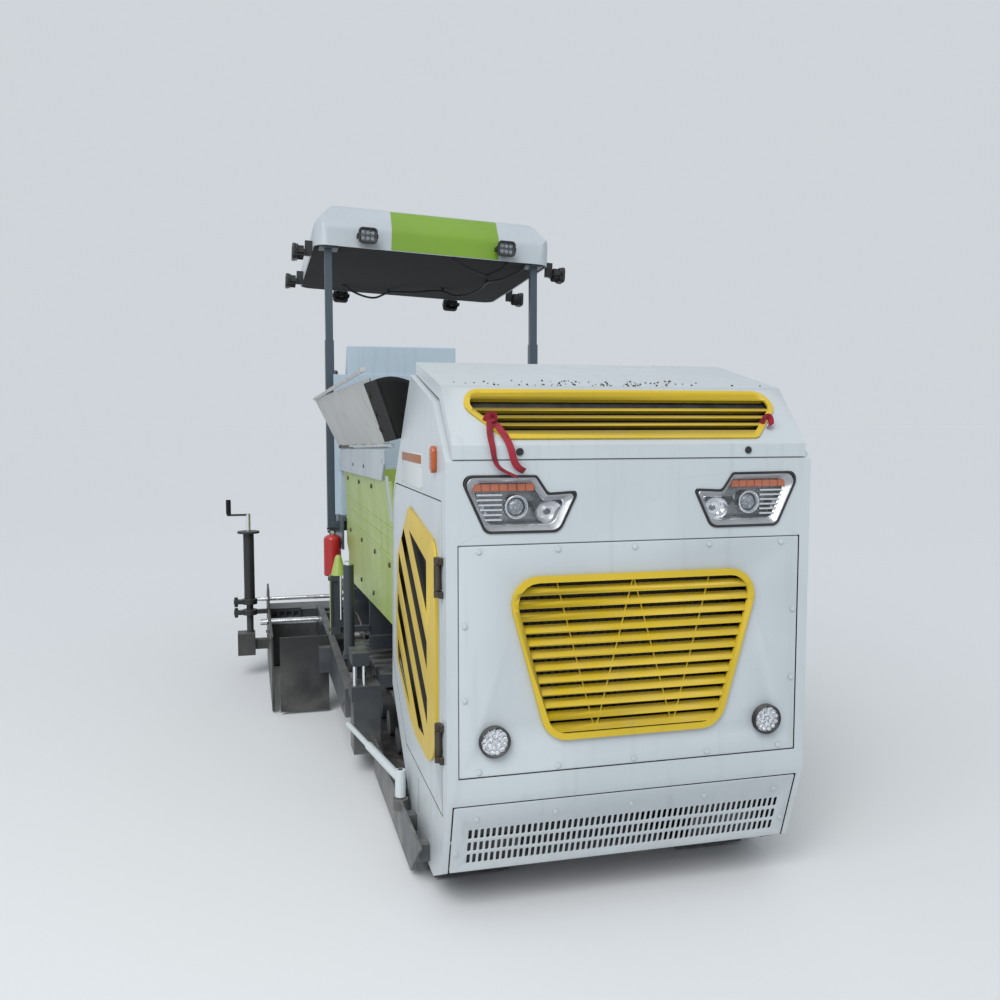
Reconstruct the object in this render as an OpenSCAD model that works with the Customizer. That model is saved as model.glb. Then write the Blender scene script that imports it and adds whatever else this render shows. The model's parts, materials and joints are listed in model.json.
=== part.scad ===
// Small asphalt paver on crawler tracks. The engine housing stands at the front,
// the hopper behind it, then the operator's platform under a two-post canopy,
// the augers and the screed with its sliding extensions.
// Millimetres, +X to the right, +Y to the rear, +Z up, ground at z = 0.
// Every module is laid out from the front face of the engine housing and set
// back by front_y, so that the frame's origin lies under the middle of the machine.

/* [Engine housing] */
// Width over the side panels of the engine housing
housing_w = 1250; // [1200:10:1300]
// Thickness of the housing's sheet walls
housing_wall = 20; // [16:1:22]
// Height of the top edge of the front frame
front_top_z = 1497; // [1480:1:1500]
// Height of the lower edge of the front frame
front_low_z = 442; // [430:1:450]
// Number of louvres in the front grille
front_louvres = 12; // [9:1:14]
// Number of slats in the hood grille
hood_slats = 4; // [3:1:4]
// Number of slats in a door grille
door_slats = 4; // [3:1:5]

/* [Tracks] */
// Width of a track shoe
shoe_w = 270; // [250:5:275]
// Distance from the centre line to the outer edge of a track
track_outer_x = 597; // [590:1:598]
// Number of shoes on a track
shoe_count = 48; // [44:1:50]
// Thickness of a track from shoe to wheel
track_t = 34; // [32:1:36]
// Radius over the shoes at the front wheel
front_wheel_r = 220; // [215:1:222]
// Radius over the shoes at the rear wheel
rear_wheel_r = 175; // [165:1:178]

/* [Hopper] */
// Thickness of the hopper's plates
hopper_plate = 10; // [8:1:12]
// Lean of a raised wing from upright, outwards
wing_lean = 25; // [20:1:28]

/* [Platform and canopy] */
// Height of the deck of the operator's platform
deck_z = 1030; // [1020:1:1040]
// Distance of a canopy post from the centre line
post_x = 682; // [676:1:690]
// Width of the canopy
canopy_w = 1560; // [1500:10:1600]
// Length of the canopy
canopy_l = 1600; // [1500:10:1620]
// Sideways tilt of the canopy
canopy_roll = 2.7; // [0:0.1:3]
// Slope of the canopy down to the rear
canopy_pitch = 2.3; // [0:0.1:2.5]

/* [Screed] */
// Half the width of the main screed
screed_half_w = 600; // [580:5:610]
// Distance of an end plate's outer face from the centre line
end_plate_x = 1100; // [1095:1:1110]
// Clearance under the screed
screed_z = 8; // [6:1:12]
// Radius of the auger flights
auger_r = 150; // [130:1:150]
// Turns of one auger's flight
auger_turns = 3; // [2:1:4]

/* [Hidden] */

front_y = -2540;
half_w = housing_w / 2;
gap = 5;

// Outlines are lists of points that run anticlockwise. Side outlines are [y, z],
// front outlines are [x, z].
housing_side = [[0, front_low_z], [95, 158], [240, 85], [630, 85], [1167, 507], [1140, 870],
                [1090, 1340], [640, 1790], [198, 1682], [0, front_top_z]];
door_side = [[75, 363], [800, 363], [1143, 632], [1118, 870], [1071, 1315], [1016, 1370],
             [75, 1370]];
door_grille_side = [[140, 460], [600, 480], [985, 655], [995, 820], [940, 1100], [665, 1308],
                    [138, 1232]];
door_grille_r = [180, 400, 60, 200, 60, 40, 70];
door_window_side = [[298, 535], [600, 520], [950, 672], [968, 810], [908, 1118], [770, 1222],
                    [640, 1222], [298, 1155]];
door_slat_w = 99;
door_slat_pitch = 192;
door_slat_top = [340, 954];
door_slat_angle = 35;
grille_front = [[-300, 606], [300, 606], [446, 1137], [-446, 1137]];
grille_r = 88;
grille_frame_w = 21;
lamp_left_front = [[-580, 1453], [-500, 1279], [-262, 1278], [-203, 1400], [-300, 1395],
                   [-338, 1451]];
lamp_r = [26, 26, 34, 10, 14, 12];
panel_t = 8;
door_t = 22;

// Front lip, knee and rear edge of the hood's outer surface, [y, z]
hood_lip = [0, 1548];
hood_knee = [180, 1738];
hood_rear = [640, 1837];
hood_half_w = 605;
hood_wall_h = 43;
hood_t = 18;
hood_pivot = [662, 1826];

door_pivot_x = half_w + 14;
door_pivot_y = 66;
door_hinge_z = [605, 1135];
knuckle_r = 12;
knuckle_h = 80;
pin_r = 6;
running = 0.06;

front_wheel = [450, front_wheel_r];
rear_wheel = [2700, rear_wheel_r];
track_mid_x = track_outer_x - shoe_w / 2;

// Hinge line of a raised wing: its rear end, its slope and its turn
wing_hinge = [-650, 3200, 1465];
wing_slope = 1.575;
wing_yaw = 0.86;
wing_t = 6;

// The hopper's carriers, as [front edge, underside], and the hopper floor's underside at x
outriggers = [[1215, 462], [2150, 425], [3090, 520]];
function floor_z(x) = 610 + (x - 260) * 540 / 342;

tow_pivot = [1680, 300];
tow_arm_x = [745, 785];

auger_y = 3060;
auger_z = 300;
jack = [-1210, 3400];
tube_high = [3430, 490];
tube_low = [3430, 340];
post_y = 3480;

function unit(v) = v / norm(v);
function left_of(v) = [-v.y, v.x];
function polar(r, a) = [r * cos(a), r * sin(a)];

// An outline moved inwards by d
function inset(p, d) = let (n = len(p)) [for (i = [0:n - 1])
    let (a = left_of(unit(p[i] - p[(i + n - 1) % n])), b = left_of(unit(p[(i + 1) % n] - p[i])))
    p[i] + d * (a + b) / (1 + a * b)];

// An outline with round corners, as points on their arcs. r is one radius, or a list
// with the radius of each corner.
corner_steps = 6;
function round_corners(p, r) = let (n = len(p)) [for (i = [0:n - 1])
    let (u = unit(p[i] - p[(i + n - 1) % n]), v = unit(p[(i + 1) % n] - p[i]),
         side = cross(u, v) < 0 ? -1 : 1, radius = is_list(r) ? r[i] : r,
         centre = p[i] + side * radius * (left_of(u) + left_of(v)) / (1 + u * v),
         out = -side * left_of(u), from = atan2(out.y, out.x), turn = side * acos(u * v))
    for (k = [0:corner_steps]) centre + polar(radius, from + turn * k / corner_steps)];

module rounded(p, r) polygon(round_corners(p, r));

module from_front() translate([0, front_y, 0]) children();

module both_sides() {
    children();
    mirror([1, 0, 0]) children();
}

// A side outline drawn as a plate from x to x + t
module side_plate(x, t) translate([x, 0, 0]) rotate([90, 0, 90]) linear_extrude(t) children();

// A front outline drawn as a plate from y to y + t
module front_plate(y, t) translate([0, y + t, 0]) rotate([90, 0, 0]) linear_extrude(t) children();

module box(low, high) translate(low) cube(high - low);

// A round bar from x0 to x1 at [y, z]
module bar_x(x0, x1, at, r) translate([x0, at.x, at.y]) rotate([0, 90, 0])
    cylinder(r = r, h = x1 - x0, $fn = 48);

// A square post between two heights, its middle at [x, y]
module post_z(at, z0, z1, side) translate([at.x - side / 2, at.y - side / 2, z0])
    cube([side, side, z1 - z0]);

module bar_z(at, z0, z1, r) translate([at.x, at.y, z0]) cylinder(r = r, h = z1 - z0, $fn = 48);

// Frame and engine

module main_frame() from_front() color("#3a4046") {
    both_sides() {
        side_plate(-300, 30)
            polygon([[120, 250], [2780, 250], [2860, 500], [3250, 500], [3250, 860], [3600, 940],
                     [4250, 940], [4250, 1000], [3195, 1000], [3195, 620], [120, 560]]);
        for (at = outriggers) {
            box([-600, at.x, at.y], [-300, at.x + 60, at.y + 70]);
            front_plate(at.x + 24, 12)
                polygon([[-600, at.y + 70], [-300, at.y + 70], [-300, floor_z(300)],
                         [-600, floor_z(600)]]);
        }
        for (at = [[1000, 240], [2200, 220]]) bar_x(-track_mid_x + 45, -270, at, 45);
    }
    for (y = [150, 1150, 2150, 2760]) box([-270, y, 300], [270, y + 60, 480]);
    box([-270, outriggers[2].x, 520], [270, outriggers[2].x + 60, 590]);
    box([-605, 30, 444], [605, 64, 500]);
    for (y = [300, 800]) box([-270, y, 480], [270, y + 80, 550]);
}

module engine_block() from_front() color("#55595c") box([-260, 250, 550], [260, 950, 1230]);

// Cooler behind the front grille: a core of upright tubes between two tanks
module radiator() from_front() color("#2b2f33") {
    box([-420, 126, 640], [420, 180, 1150]);
    for (x = [-412:26:400]) box([x, 120, 640], [x + 8, 126, 1150]);
    for (z = [596, 1150]) box([-430, 115, z], [430, 188, z + 44]);
    for (x = [-300, 270]) box([x, 122, 561.5], [x + 30, 185, 596]);
}

module hinge_fixed(z) {
    bar_z([-door_pivot_x, door_pivot_y], z - 55, z + 55, pin_r);
    for (s = [-1, 1]) {
        low = z + s * (knuckle_h / 2 + 3 + 10) - 10;
        bar_z([-door_pivot_x, door_pivot_y], low, low + 20, knuckle_r);
        box([-door_pivot_x, door_pivot_y - 30, low], [-half_w + 2, door_pivot_y - 4, low + 20]);
    }
}

module engine_housing() from_front() color("#e9eceb") {
    difference() {
        side_plate(-half_w, housing_w) polygon(housing_side);
        side_plate(-half_w + housing_wall, housing_w - 2 * housing_wall)
            polygon(inset(housing_side, housing_wall));
        box([-half_w + housing_wall, -20, 60], [half_w - housing_wall, 40, 411]);
        box([-half_w + housing_wall, 34, 60], [half_w - housing_wall, 1200, 424]);
        box([-565, 30, 1480], [565, 600, 1900]);
        box([-308, 1000, 400], [308, 1200, 612]);
        front_plate(-1, 1 + panel_t) square_at([-589, 502], [589, 1241]);
        front_plate(-1, 40) square_at([-545, 560], [545, 1190]);
        both_sides() {
            front_plate(-1, 40) rounded(inset(lamp_left_front, -4), lamp_r);
            side_plate(-half_w - 1, housing_wall + 3) polygon(inset(door_side, -gap));
        }
    }
    both_sides() for (z = door_hinge_z) hinge_fixed(z);
    for (x = [-420, 360])
        box([x, hood_pivot.x - 10, 1742], [x + 60, hood_pivot.x + 12, hood_pivot.y - 18]);
    bar_x(-480, -300, hood_pivot, 7);
    bar_x(300, 480, hood_pivot, 7);
    for (x = [-480, -312, 300, 468])
        box([x, hood_pivot.x - 12, 1760], [x + 12, hood_pivot.x + 12, hood_pivot.y + 8]);
}

module square_at(low, high) translate(low) square(high - low);

module front_panel() from_front() color("#e9eceb") difference() {
    front_plate(0, panel_t) square_at([-585, 506], [585, 1237]);
    front_plate(-1, panel_t + 2) rounded(inset(grille_front, 15), grille_r - 15);
    both_sides() translate([-474, 20, 619]) rotate([90, 0, 0]) cylinder(r = 44, h = 40, $fn = 48);
}

module front_grille() from_front() color("#d9b91c") {
    front_plate(-14, 14) difference() {
        rounded(grille_front, grille_r);
        rounded(inset(grille_front, grille_frame_w), grille_r - grille_frame_w);
    }
    low = grille_front[0].y + grille_frame_w;
    high = grille_front[2].y - grille_frame_w;
    pitch = (high - low) / (front_louvres + 0.1);
    intersection() {
        front_plate(-12, 26) rounded(inset(grille_front, grille_frame_w - 4), grille_r - 17);
        union() {
            for (i = [1:front_louvres])
                translate([-450, 0, high - i * pitch + 12]) rotate([38, 0, 0])
                    translate([0, -20, -1.5]) cube([900, 40, 3]);
            for (leg = tie_legs) front_plate(2, 4) translate(leg[0])
                rotate(atan2(leg[1].y - leg[0].y, leg[1].x - leg[0].x))
                    translate([0, -tie_w / 2]) square([norm(leg[1] - leg[0]), tie_w]);
        }
    }
}

// The tie bar zigzags behind the louvres, [x, z]
tie_w = 4;
tie_points = [[-270, 1125], [-135, 620], [-8, 1125], [135, 620], [262, 1125]];
tie_legs = [for (i = [0:3]) [tie_points[i], tie_points[i + 1]]];

// The lower panel hangs from the bend in the front face and follows its slope.
// Rows of slots, as distances down the slope from the panel's hinge line.
slot_rows = [98, 148, 197];
slot_count = 56;
slot_pitch = 19.8;
slot_size = [11.5, 37];
module lower_panel() from_front() color("#e9eceb") {
    lean = atan2(95 - 10, 412 - 158);
    translate([0, 10, 412]) rotate([lean, 0, 0]) difference() {
        box([-600, 0, -268], [600, 10, -7]);
        for (row = slot_rows, i = [0:slot_count - 1])
            translate([(i - (slot_count - 1) / 2) * slot_pitch + 4 - slot_size.x / 2, -1, -row - slot_size.y])
                cube([slot_size.x, 12, slot_size.y]);
    }
}

module lamp_outline(d) rounded(inset(lamp_left_front, d),
    [for (i = [0:5]) lamp_r[i] + (i == 4 ? d : -d * 0.7)]);

module headlamps() from_front() both_sides() {
    color("#c9cdd0") {
        front_plate(-8, 63) difference() {
            lamp_outline(0);
            lamp_outline(13);
        }
        front_plate(22, 33) lamp_outline(12);
        translate([-400, 23, 1356]) rotate([90, 0, 0]) cylinder(r = 37, h = 24, $fn = 48);
    }
    color("#d9701c") front_plate(8, 15) polygon([[-538, 1406], [-343, 1404], [-345, 1427], [-546, 1429]]);
    color("#e8f0f4") translate([-400, 0, 1356]) rotate([90, 0, 0]) cylinder(r = 28, h = 5, $fn = 48);
}

module round_lamps() from_front() both_sides() color("#15171a") translate([-474, 0, 619]) rotate([90, 0, 0]) {
    translate([0, 0, -40]) cylinder(r = 42, h = 44, $fn = 48);
    difference() {
        cylinder(r = 50, h = 24, $fn = 64);
        translate([0, 0, 14]) cylinder(r = 43, h = 20, $fn = 64);
    }
}

module marker_lamps() from_front() both_sides() color("#d9701c")
    side_plate(-half_w - 18, 18) rounded([[138, 1457], [183, 1457], [183, 1544], [138, 1544]], 21);

// Hood and doors

module hood() from_front() color("#e9eceb") {
    outer = [[0, 1505], [640, 1505], hood_rear, hood_knee, hood_lip];
    below = [0, -hood_wall_h];
    difference() {
        side_plate(-hood_half_w, 2 * hood_half_w)
            polygon([hood_lip + below, hood_knee + below + [18, 0], hood_rear + below, hood_rear,
                     hood_knee, hood_lip]);
        side_plate(-hood_half_w + hood_t, 2 * (hood_half_w - hood_t))
            polygon([[hood_t, 1490], [198, 1600], [hood_rear.x - hood_t, 1700],
                     hood_rear + [-hood_t, -hood_t - 4], hood_knee + [8, -hood_t - 2],
                     hood_lip + [hood_t, -hood_t / 2]]);
        on_slope(-30, 60) rounded(inset(hood_grille_outline(), 10), 40);
    }
    for (x = [-450, 340]) {
        bar_x_tube(x, x + 110, hood_pivot, 14, 7 + running);
        box([x, hood_rear.x - 10, hood_rear.y - 40], [x + 110, hood_pivot.x - 12.5, hood_rear.y - 2]);
    }
}

module bar_x_tube(x0, x1, at, r, bore) difference() {
    bar_x(x0, x1, at, r);
    bar_x(x0 - 1, x1 + 1, at, bore);
}

// The hood's sloping face as a drawing plane: x across, y up the slope from the lip
slope_angle = atan2(hood_knee.y - hood_lip.y, hood_knee.x - hood_lip.x);
module on_slope(z, t) translate([0, hood_lip.x, hood_lip.y]) rotate([slope_angle, 0, 0])
    translate([0, 0, z]) linear_extrude(t) children();

function hood_grille_outline() = [[-435, 22], [435, 22], [553, 165], [518, 238], [-518, 238],
                                  [-553, 165]];
hood_grille_r = [30, 30, 62, 52, 52, 62];
hood_slat_low = 55;
hood_slat_pitch = 33;

module hood_grille() from_front() color("#d9b91c") {
    outline = hood_grille_outline();
    on_slope(0, 8) difference() {
        rounded(outline, hood_grille_r);
        rounded(inset(outline, 19), hood_grille_r - [16, 16, 19, 19, 19, 19]);
    }
    // Shelves along the top and bottom edges, then the slats, as [low edge, high edge]
    bands = concat([[30, 50], [198, 225]], [for (i = [0:hood_slats - 1])
        [hood_slat_low + i * hood_slat_pitch - 6, hood_slat_low + i * hood_slat_pitch + 6]]);
    on_slope(-12, 13) for (at = bands) intersection() {
        square_at([-600, at.x], [600, at.y]);
        rounded(inset(outline, 13), hood_grille_r - [12, 12, 13, 13, 13, 13]);
    }
}

module door_leaf() {
    difference() {
        side_plate(-half_w, door_t) polygon(door_side);
        side_plate(-half_w - 1, door_t + 2) rounded(inset(door_window_side, -6), 14);
    }
    for (z = door_hinge_z) difference() {
        union() {
            bar_z([-door_pivot_x, door_pivot_y], z - knuckle_h / 2, z + knuckle_h / 2, knuckle_r);
            box([-door_pivot_x, door_pivot_y, z - knuckle_h / 2],
                [-half_w, door_pivot_y + 40, z + knuckle_h / 2]);
        }
        bar_z([-door_pivot_x, door_pivot_y], z - 60, z + 60, pin_r + running);
    }
}

// The grille is one plate, cut away between its slanting slats
module door_grille() side_plate(-half_w - 8, 8) difference() {
    rounded(door_grille_side, door_grille_r);
    difference() {
        rounded(door_window_side, 12);
        for (i = [0:door_slats - 1]) translate(door_slat_top - [0, i * door_slat_pitch])
            rotate(door_slat_angle) square([1800, door_slat_w], center = true);
    }
}

module door_left() from_front() color("#e9eceb") door_leaf();
module door_right() from_front() color("#e9eceb") mirror([1, 0, 0]) door_leaf();
module door_grille_left() from_front() color("#d9b91c") door_grille();
module door_grille_right() from_front() color("#d9b91c") mirror([1, 0, 0]) door_grille();

// Hopper, conveyor and wings

module hopper_side() {
    intersection() {
        translate([0, 3300, 0]) rotate([90, 0, 0]) linear_extrude(2300)
            polygon([[-612, 600], [-612 + hopper_plate, 600], [-612 + hopper_plate, 1165],
                     [-630, 1400], [-640, 1400], [-612, 1165]]);
        side_plate(-700, 120) polygon([[1182, 745], [2800, 670], [3200, 870], [3180, 1325],
                                       [1098, 1373], [1152, 880]]);
    }
}

module hopper_floor() {
    translate([0, 3175, 0]) rotate([90, 0, 0]) linear_extrude(3175 - 1185)
        polygon([[-602, 1150], [-260, 610], [-248, 616], [-602, 1172]]);
}

module hopper() from_front() color("#b4c85a") {
    both_sides() {
        hopper_side();
        hopper_floor();
    }
    box([-602, 3175, 700], [602, 3190, 1325]);
}

module conveyor() from_front() color("#33383d") {
    box([-270, 1190, 560], [270, 2900, 568]);
    for (x = [-190, 150]) box([x, 1200, 568], [x + 40, 2890, 582]);
    for (y = [1230:110:2860]) box([-235, y, 582], [235, y + 26, 594]);
}

// Places a wing's own drawing: y along the hinge from its rear end, z up the plate
module at_wing(lean) translate(wing_hinge) rotate([0, 0, wing_yaw]) rotate([-wing_slope, 0, 0])
    rotate([0, -lean, 0]) children();

wing_knuckle_l = 180;
module wing_knuckles(first) for (i = [first:2:10])
    translate([0, -40 - i * (wing_knuckle_l + 3), 0]) rotate([90, 0, 0])
        cylinder(r = 11, h = wing_knuckle_l, $fn = 32);

module hinge_rail() {
    side_plate(-648, 10) polygon([[1300, 1366], [3260, 1318], [3260, 1420], [3160, 1452],
                                  [1220, 1504], [1220, 1440]]);
    at_wing(0) wing_knuckles(0);
}

module hinge_rails() from_front() both_sides() color("#b9bec0") difference() {
    hinge_rail();
    for (at = [[3220, 1365], [1275, 1440]]) bar_x(-660, -620, at, 18);
}

module wing_plate() {
    at_wing(wing_lean) {
        side_plate(-wing_t, wing_t)
            polygon([[-2010, 14], [-30, 14], [50, 330], [-2290, 290], [-2190, 150]]);
        wing_knuckles(1);
        for (i = [1:2:9]) box([-wing_t, -40 - i * (wing_knuckle_l + 3) - wing_knuckle_l, 0],
                              [0, -40 - i * (wing_knuckle_l + 3), 20]);
        translate([-20, -20, 322]) box([0, -2270, 0], [20, 0, 16]);
    }
}

module wing_flap() at_wing(wing_lean)
    side_plate(-wing_t - 4, 4)
        polygon([[-2290, 30], [-1960, 20], [-2130, 280], [-2464, 275]]);

module wing_left() from_front() color("#e4e7e6") wing_plate();
module wing_right() from_front() color("#e4e7e6") mirror([1, 0, 0]) wing_plate();
module wing_flap_left() from_front() color("#1d1f21") wing_flap();
module wing_flap_right() from_front() color("#1d1f21") mirror([1, 0, 0]) wing_flap();

// Tracks

// The loop in side view: along the ground to the front wheel, round it, back along
// the top run and round the rear wheel. s is the distance along the shoes' faces.
wheel_gap = norm(rear_wheel - front_wheel);
run_l = sqrt(wheel_gap * wheel_gap - pow(front_wheel_r - rear_wheel_r, 2));
top_angle = 90 - 2 * asin((front_wheel_r - rear_wheel_r) / wheel_gap);
front_arc = front_wheel_r * (270 - top_angle) * PI / 180;
rear_arc = rear_wheel_r * (top_angle + 90) * PI / 180;
loop_l = 2 * run_l + front_arc + rear_arc;
shoe_pitch = loop_l / shoe_count;

function on_loop(s, out) =
    s < run_l ? [rear_wheel.x - s, -out]
    : s < run_l + front_arc
        ? front_wheel + polar(front_wheel_r + out, 270 - (s - run_l) / front_wheel_r * 180 / PI)
    : s < 2 * run_l + front_arc
        ? front_wheel + polar(front_wheel_r + out, top_angle)
          + (s - run_l - front_arc) * polar(1, top_angle - 90)
    : rear_wheel + polar(rear_wheel_r + out,
                         top_angle - (s - 2 * run_l - front_arc) / rear_wheel_r * 180 / PI);

// One shoe's outline along the loop: gap, plate, grouser bar and plate again, as
// [share of the pitch, depth below the grousers' tips]
shoe_outline = [[0.02, -22], [0.05, -10], [0.42, -10], [0.45, 0], [0.55, 0], [0.58, -10],
                [0.95, -10], [0.98, -22]];
module track() side_plate(-track_outer_x, shoe_w) difference() {
    polygon([for (i = [0:shoe_count - 1], at = shoe_outline)
             on_loop((i + at.x) * shoe_pitch, at.y)]);
    polygon([for (i = [0:0.5:shoe_count - 0.5]) on_loop(i * shoe_pitch, -track_t)]);
}

wheel_play = 3;
module undercarriage() {
    width = [-track_mid_x - 78, -track_mid_x + 78];
    box([-track_mid_x - 45, 700, 190], [-track_mid_x + 45, 2560, 280]);
    for (y = [760:290:2520]) bar_x(width.x, width.y, [y, track_t + 63], 62);
    for (y = [1150, 1950]) bar_x(width.x, width.y, [y, on_top(y) - 46], 44);
    for (y = [1150, 1950]) box([-track_mid_x - 20, y - 20, 270], [-track_mid_x + 20, y + 20, on_top(y) - 46]);
    difference() {
        bar_x(-track_mid_x - 40, -track_mid_x + 40, front_wheel, front_wheel_r - track_t - wheel_play);
        for (s = [-1, 1]) bar_x(-track_mid_x + s * 40 - 20, -track_mid_x + s * 40 + 20, front_wheel, 130);
    }
    bar_x(-track_mid_x - 60, -track_mid_x + 60, front_wheel, 50);
    difference() {
        bar_x(-track_mid_x - 40, -track_mid_x + 40, rear_wheel, rear_wheel_r - track_t - wheel_play);
        for (s = [-1, 1]) bar_x(-track_mid_x + s * 40 - 20, -track_mid_x + s * 40 + 20, rear_wheel, 95);
    }
    bar_x(-track_mid_x - 60, -track_mid_x + 60, rear_wheel, 50);
    fork_sides = [[-track_mid_x - 60, -track_mid_x - 46], [-track_mid_x + 46, -track_mid_x + 60]];
    for (x = fork_sides) {
        box([x.x, front_wheel.x, 200], [x.y, 760, 250]);
        box([x.x, 2500, 170], [x.y, rear_wheel.x, 220]);
    }
}

// Height of the inner face of the top run at y
function on_top(y) = front_wheel_r + (front_wheel_r - track_t) / sin(top_angle)
                     - (y - front_wheel.x) / tan(top_angle);

module track_left() from_front() color("#32373b") track();
module track_right() from_front() color("#32373b") mirror([1, 0, 0]) track();
module undercarriage_left() from_front() color("#3a4046") undercarriage();
module undercarriage_right() from_front() color("#3a4046") mirror([1, 0, 0]) undercarriage();

module side_guards() from_front() both_sides() color("#4a5057") {
    side_plate(-673, 10) polygon([[430, 22], [1440, 22], [1440, 178], [250, 190], [240, 180]]);
    for (y = [300, 560]) box([-663, y, 110], [-half_w, y + 50, 170]);
    box([-700, 1400, 110], [-673, 1450, 160]);
    bar_z([-667, 690], 146, 188, 30);
    bar_z([-667, 690], 188, 306, 8);
}

// Tow points and the arms that draw the screed

module tow_columns() from_front() both_sides() color("#454b51") {
    box([-640, 1450, 410], [-300, 1600, 470]);
    box([-771, 1450, 350], [-634, 1600, 420]);
    box([-763, 1450, 106], [-642, 1594, 350]);
    for (x = [-753, -711]) bar_z([x, 1470], 418, 517, 9);
    box([-766, 1450, 515], [-690, 1600, 575]);
    difference() {
        box([-735, 1600, 60], [-690, 1745, 575]);
        box([-740, 1655, 340], [-680, 1705, 490]);
    }
    bar_x(-790, -700, tow_pivot, 25);
    box([-785, 1640, 505], [-690, 1696, 530]);
    bar_z([-757, 1668], 528, 950, 25);
    bar_z([-757, 1668], 950, 966, 20);
    channel();
}

// Slotted upright with a pointed cap and a bright rod along it
module channel() {
    difference() {
        box([-806, 2120, 519], [-756, 2180, 828]);
        box([-796, 2110, 560], [-768, 2132, 800]);
    }
    translate([-761, 2150, 828]) {
        cylinder(r1 = 39, r2 = 17, h = 92, $fn = 48);
        translate([0, 0, 88]) sphere(r = 17, $fn = 48);
    }
    bar_z([-752, 2125], 598, 828, 7);
    box([-800, 2165, 519], [-600, 2195, 549]);
}

module tow_arms() from_front() both_sides() color("#3a4046") {
    difference() {
        side_plate(-tow_arm_x.y, 40)
            polygon([[1620, 230], [1760, 220], [3250, 200], [3530, 200], [3530, 420], [3250, 420],
                     [1760, 390], [1620, 370]]);
        bar_x(-800, -730, tow_pivot, 25 + running);
        bar_x(-800, -730, tube_low, 26);
    }
    box([-1055, 2500, 16], [-tow_arm_x.y - 4, 2510, 435]);
    box([-tow_arm_x.y - 60, 2440, 240], [-tow_arm_x.y, 2500, 380]);
    box([-tow_arm_x.x, 3340, 220], [-screed_half_w, 3380, 400]);
    box([-tow_arm_x.x, 3490, 220], [-screed_half_w, 3530, 400]);
}

// Screed

module screed_body() from_front() color("#3a4046") difference() {
    union() {
        side_plate(-screed_half_w, 2 * screed_half_w)
            polygon([[3300, screed_z + 60], [3330, screed_z], [3560, screed_z], [3560, 430],
                     [3490, 540], [3370, 540], [3300, 430]]);
        for (x = [-560, -20, 520]) box([x, 3550, 400], [x + 40, 4220, 440]);
    }
    both_sides() {
        bar_x(-screed_half_w - 1, -40, tube_high, 14.5);
        bar_x(-screed_half_w - 1, -40, tube_low, 21.5);
    }
}

module walkway() from_front() color("#4a5057") difference() {
    box([-screed_half_w, 3920, 440], [screed_half_w, 4250, 470]);
    for (x = [-570:90:520], y = [3950, 4050, 4150]) box([x, y, 430], [x + 50, y + 60, 480]);
}

module screed_ext() {
    side_plate(-end_plate_x + 12, 610)
        polygon([[3575, screed_z + 40], [3605, screed_z], [3870, screed_z], [3880, 330], [3840, 385],
                 [3575, 385]]);
    difference() {
        box([-end_plate_x + 12, 3545, 328], [-885, 3575, 402]);
        for (x = [-1070:46:-910]) box([x, 3540, 343], [x + 30, 3580, 377]);
    }
    bar_x(-end_plate_x - 66, -330, tube_high, 13);
    bar_x(-end_plate_x - 48, -330, tube_low, 20);
}

module end_plate() difference() {
    side_plate(-end_plate_x, 12) polygon([[2560, screed_z], [3900, screed_z], [3900, 400], [3600, 560],
                                          [3380, 560], [3320, 440], [2520, 440], [2520, screed_z + 40]]);
    bar_x(-1120, -1080, tube_high, 14);
    bar_x(-1120, -1080, tube_low, 21);
}

module height_jack() {
    bar_z(jack, 470, 920, 33);
    bar_z(jack, 920, 932, 68);
    bar_z(jack, 932, 1042, 14);
    box([jack.x - 128, jack.y - 9, 1030], [jack.x, jack.y + 9, 1042]);
    bar_z([jack.x - 118, jack.y], 1042, 1132, 15);
    for (z = [400, 468]) {
        bar_z(jack, z, z + 32, 46);
        box([jack.x - 98, jack.y - 22, z + 2], [jack.x - 30, jack.y + 22, z + 28]);
        bar_z([jack.x - 84, jack.y], z - 16, z + 44, 11);
    }
    bar_z(jack, 280, 470, 21);
    box([jack.x - 78, jack.y - 57, 148], [jack.x + 30, jack.y + 57, 287]);
    box([jack.x + 30, jack.y - 30, 180], [-end_plate_x, jack.y + 30, 240]);
    box([jack.x + 20, jack.y - 16, 404], [-end_plate_x, jack.y + 16, 430]);
}

module screed_ext_left() from_front() color("#3a4046") screed_ext();
module screed_ext_right() from_front() color("#3a4046") mirror([1, 0, 0]) screed_ext();
module end_plate_left() from_front() color("#4a5057") end_plate();
module end_plate_right() from_front() color("#4a5057") mirror([1, 0, 0]) end_plate();
module height_jack_left() from_front() color("#1a1c1e") height_jack();
module height_jack_right() from_front() color("#1a1c1e") mirror([1, 0, 0]) height_jack();

// Augers

flight_t = 8;
flight_steps = 20;

// One auger: a shaft and a helical flight swept as rings of four points
module auger(hand) {
    x0 = -640;
    x1 = -90;
    n = flight_steps * auger_turns;
    bar_x(x0, -66, [auger_y, auger_z], 32);
    ring = [[28, 0], [auger_r, 0], [auger_r, flight_t], [28, flight_t]];
    points = [for (i = [0:n], c = ring)
        let (a = hand * i * 360 / flight_steps)
        [x0 + 10 + (x1 - x0 - 20 - flight_t) * i / n + c.y, auger_y + c.x * cos(a),
         auger_z + c.x * sin(a)]];
    faces = concat(
        [[0, 1, 2], [0, 2, 3]],
        [for (i = [0:n - 1], k = [0:3]) [4 * i + k, 4 * i + 4 + k, 4 * i + 4 + (k + 1) % 4]],
        [for (i = [0:n - 1], k = [0:3]) [4 * i + k, 4 * i + 4 + (k + 1) % 4, 4 * i + (k + 1) % 4]],
        [[4 * n + 2, 4 * n + 1, 4 * n], [4 * n + 3, 4 * n + 2, 4 * n]]);
    turned = hand < 0 ? faces : [for (f = faces) [f[2], f[1], f[0]]];
    polyhedron(points = points, faces = turned, convexity = 10);
}

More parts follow.
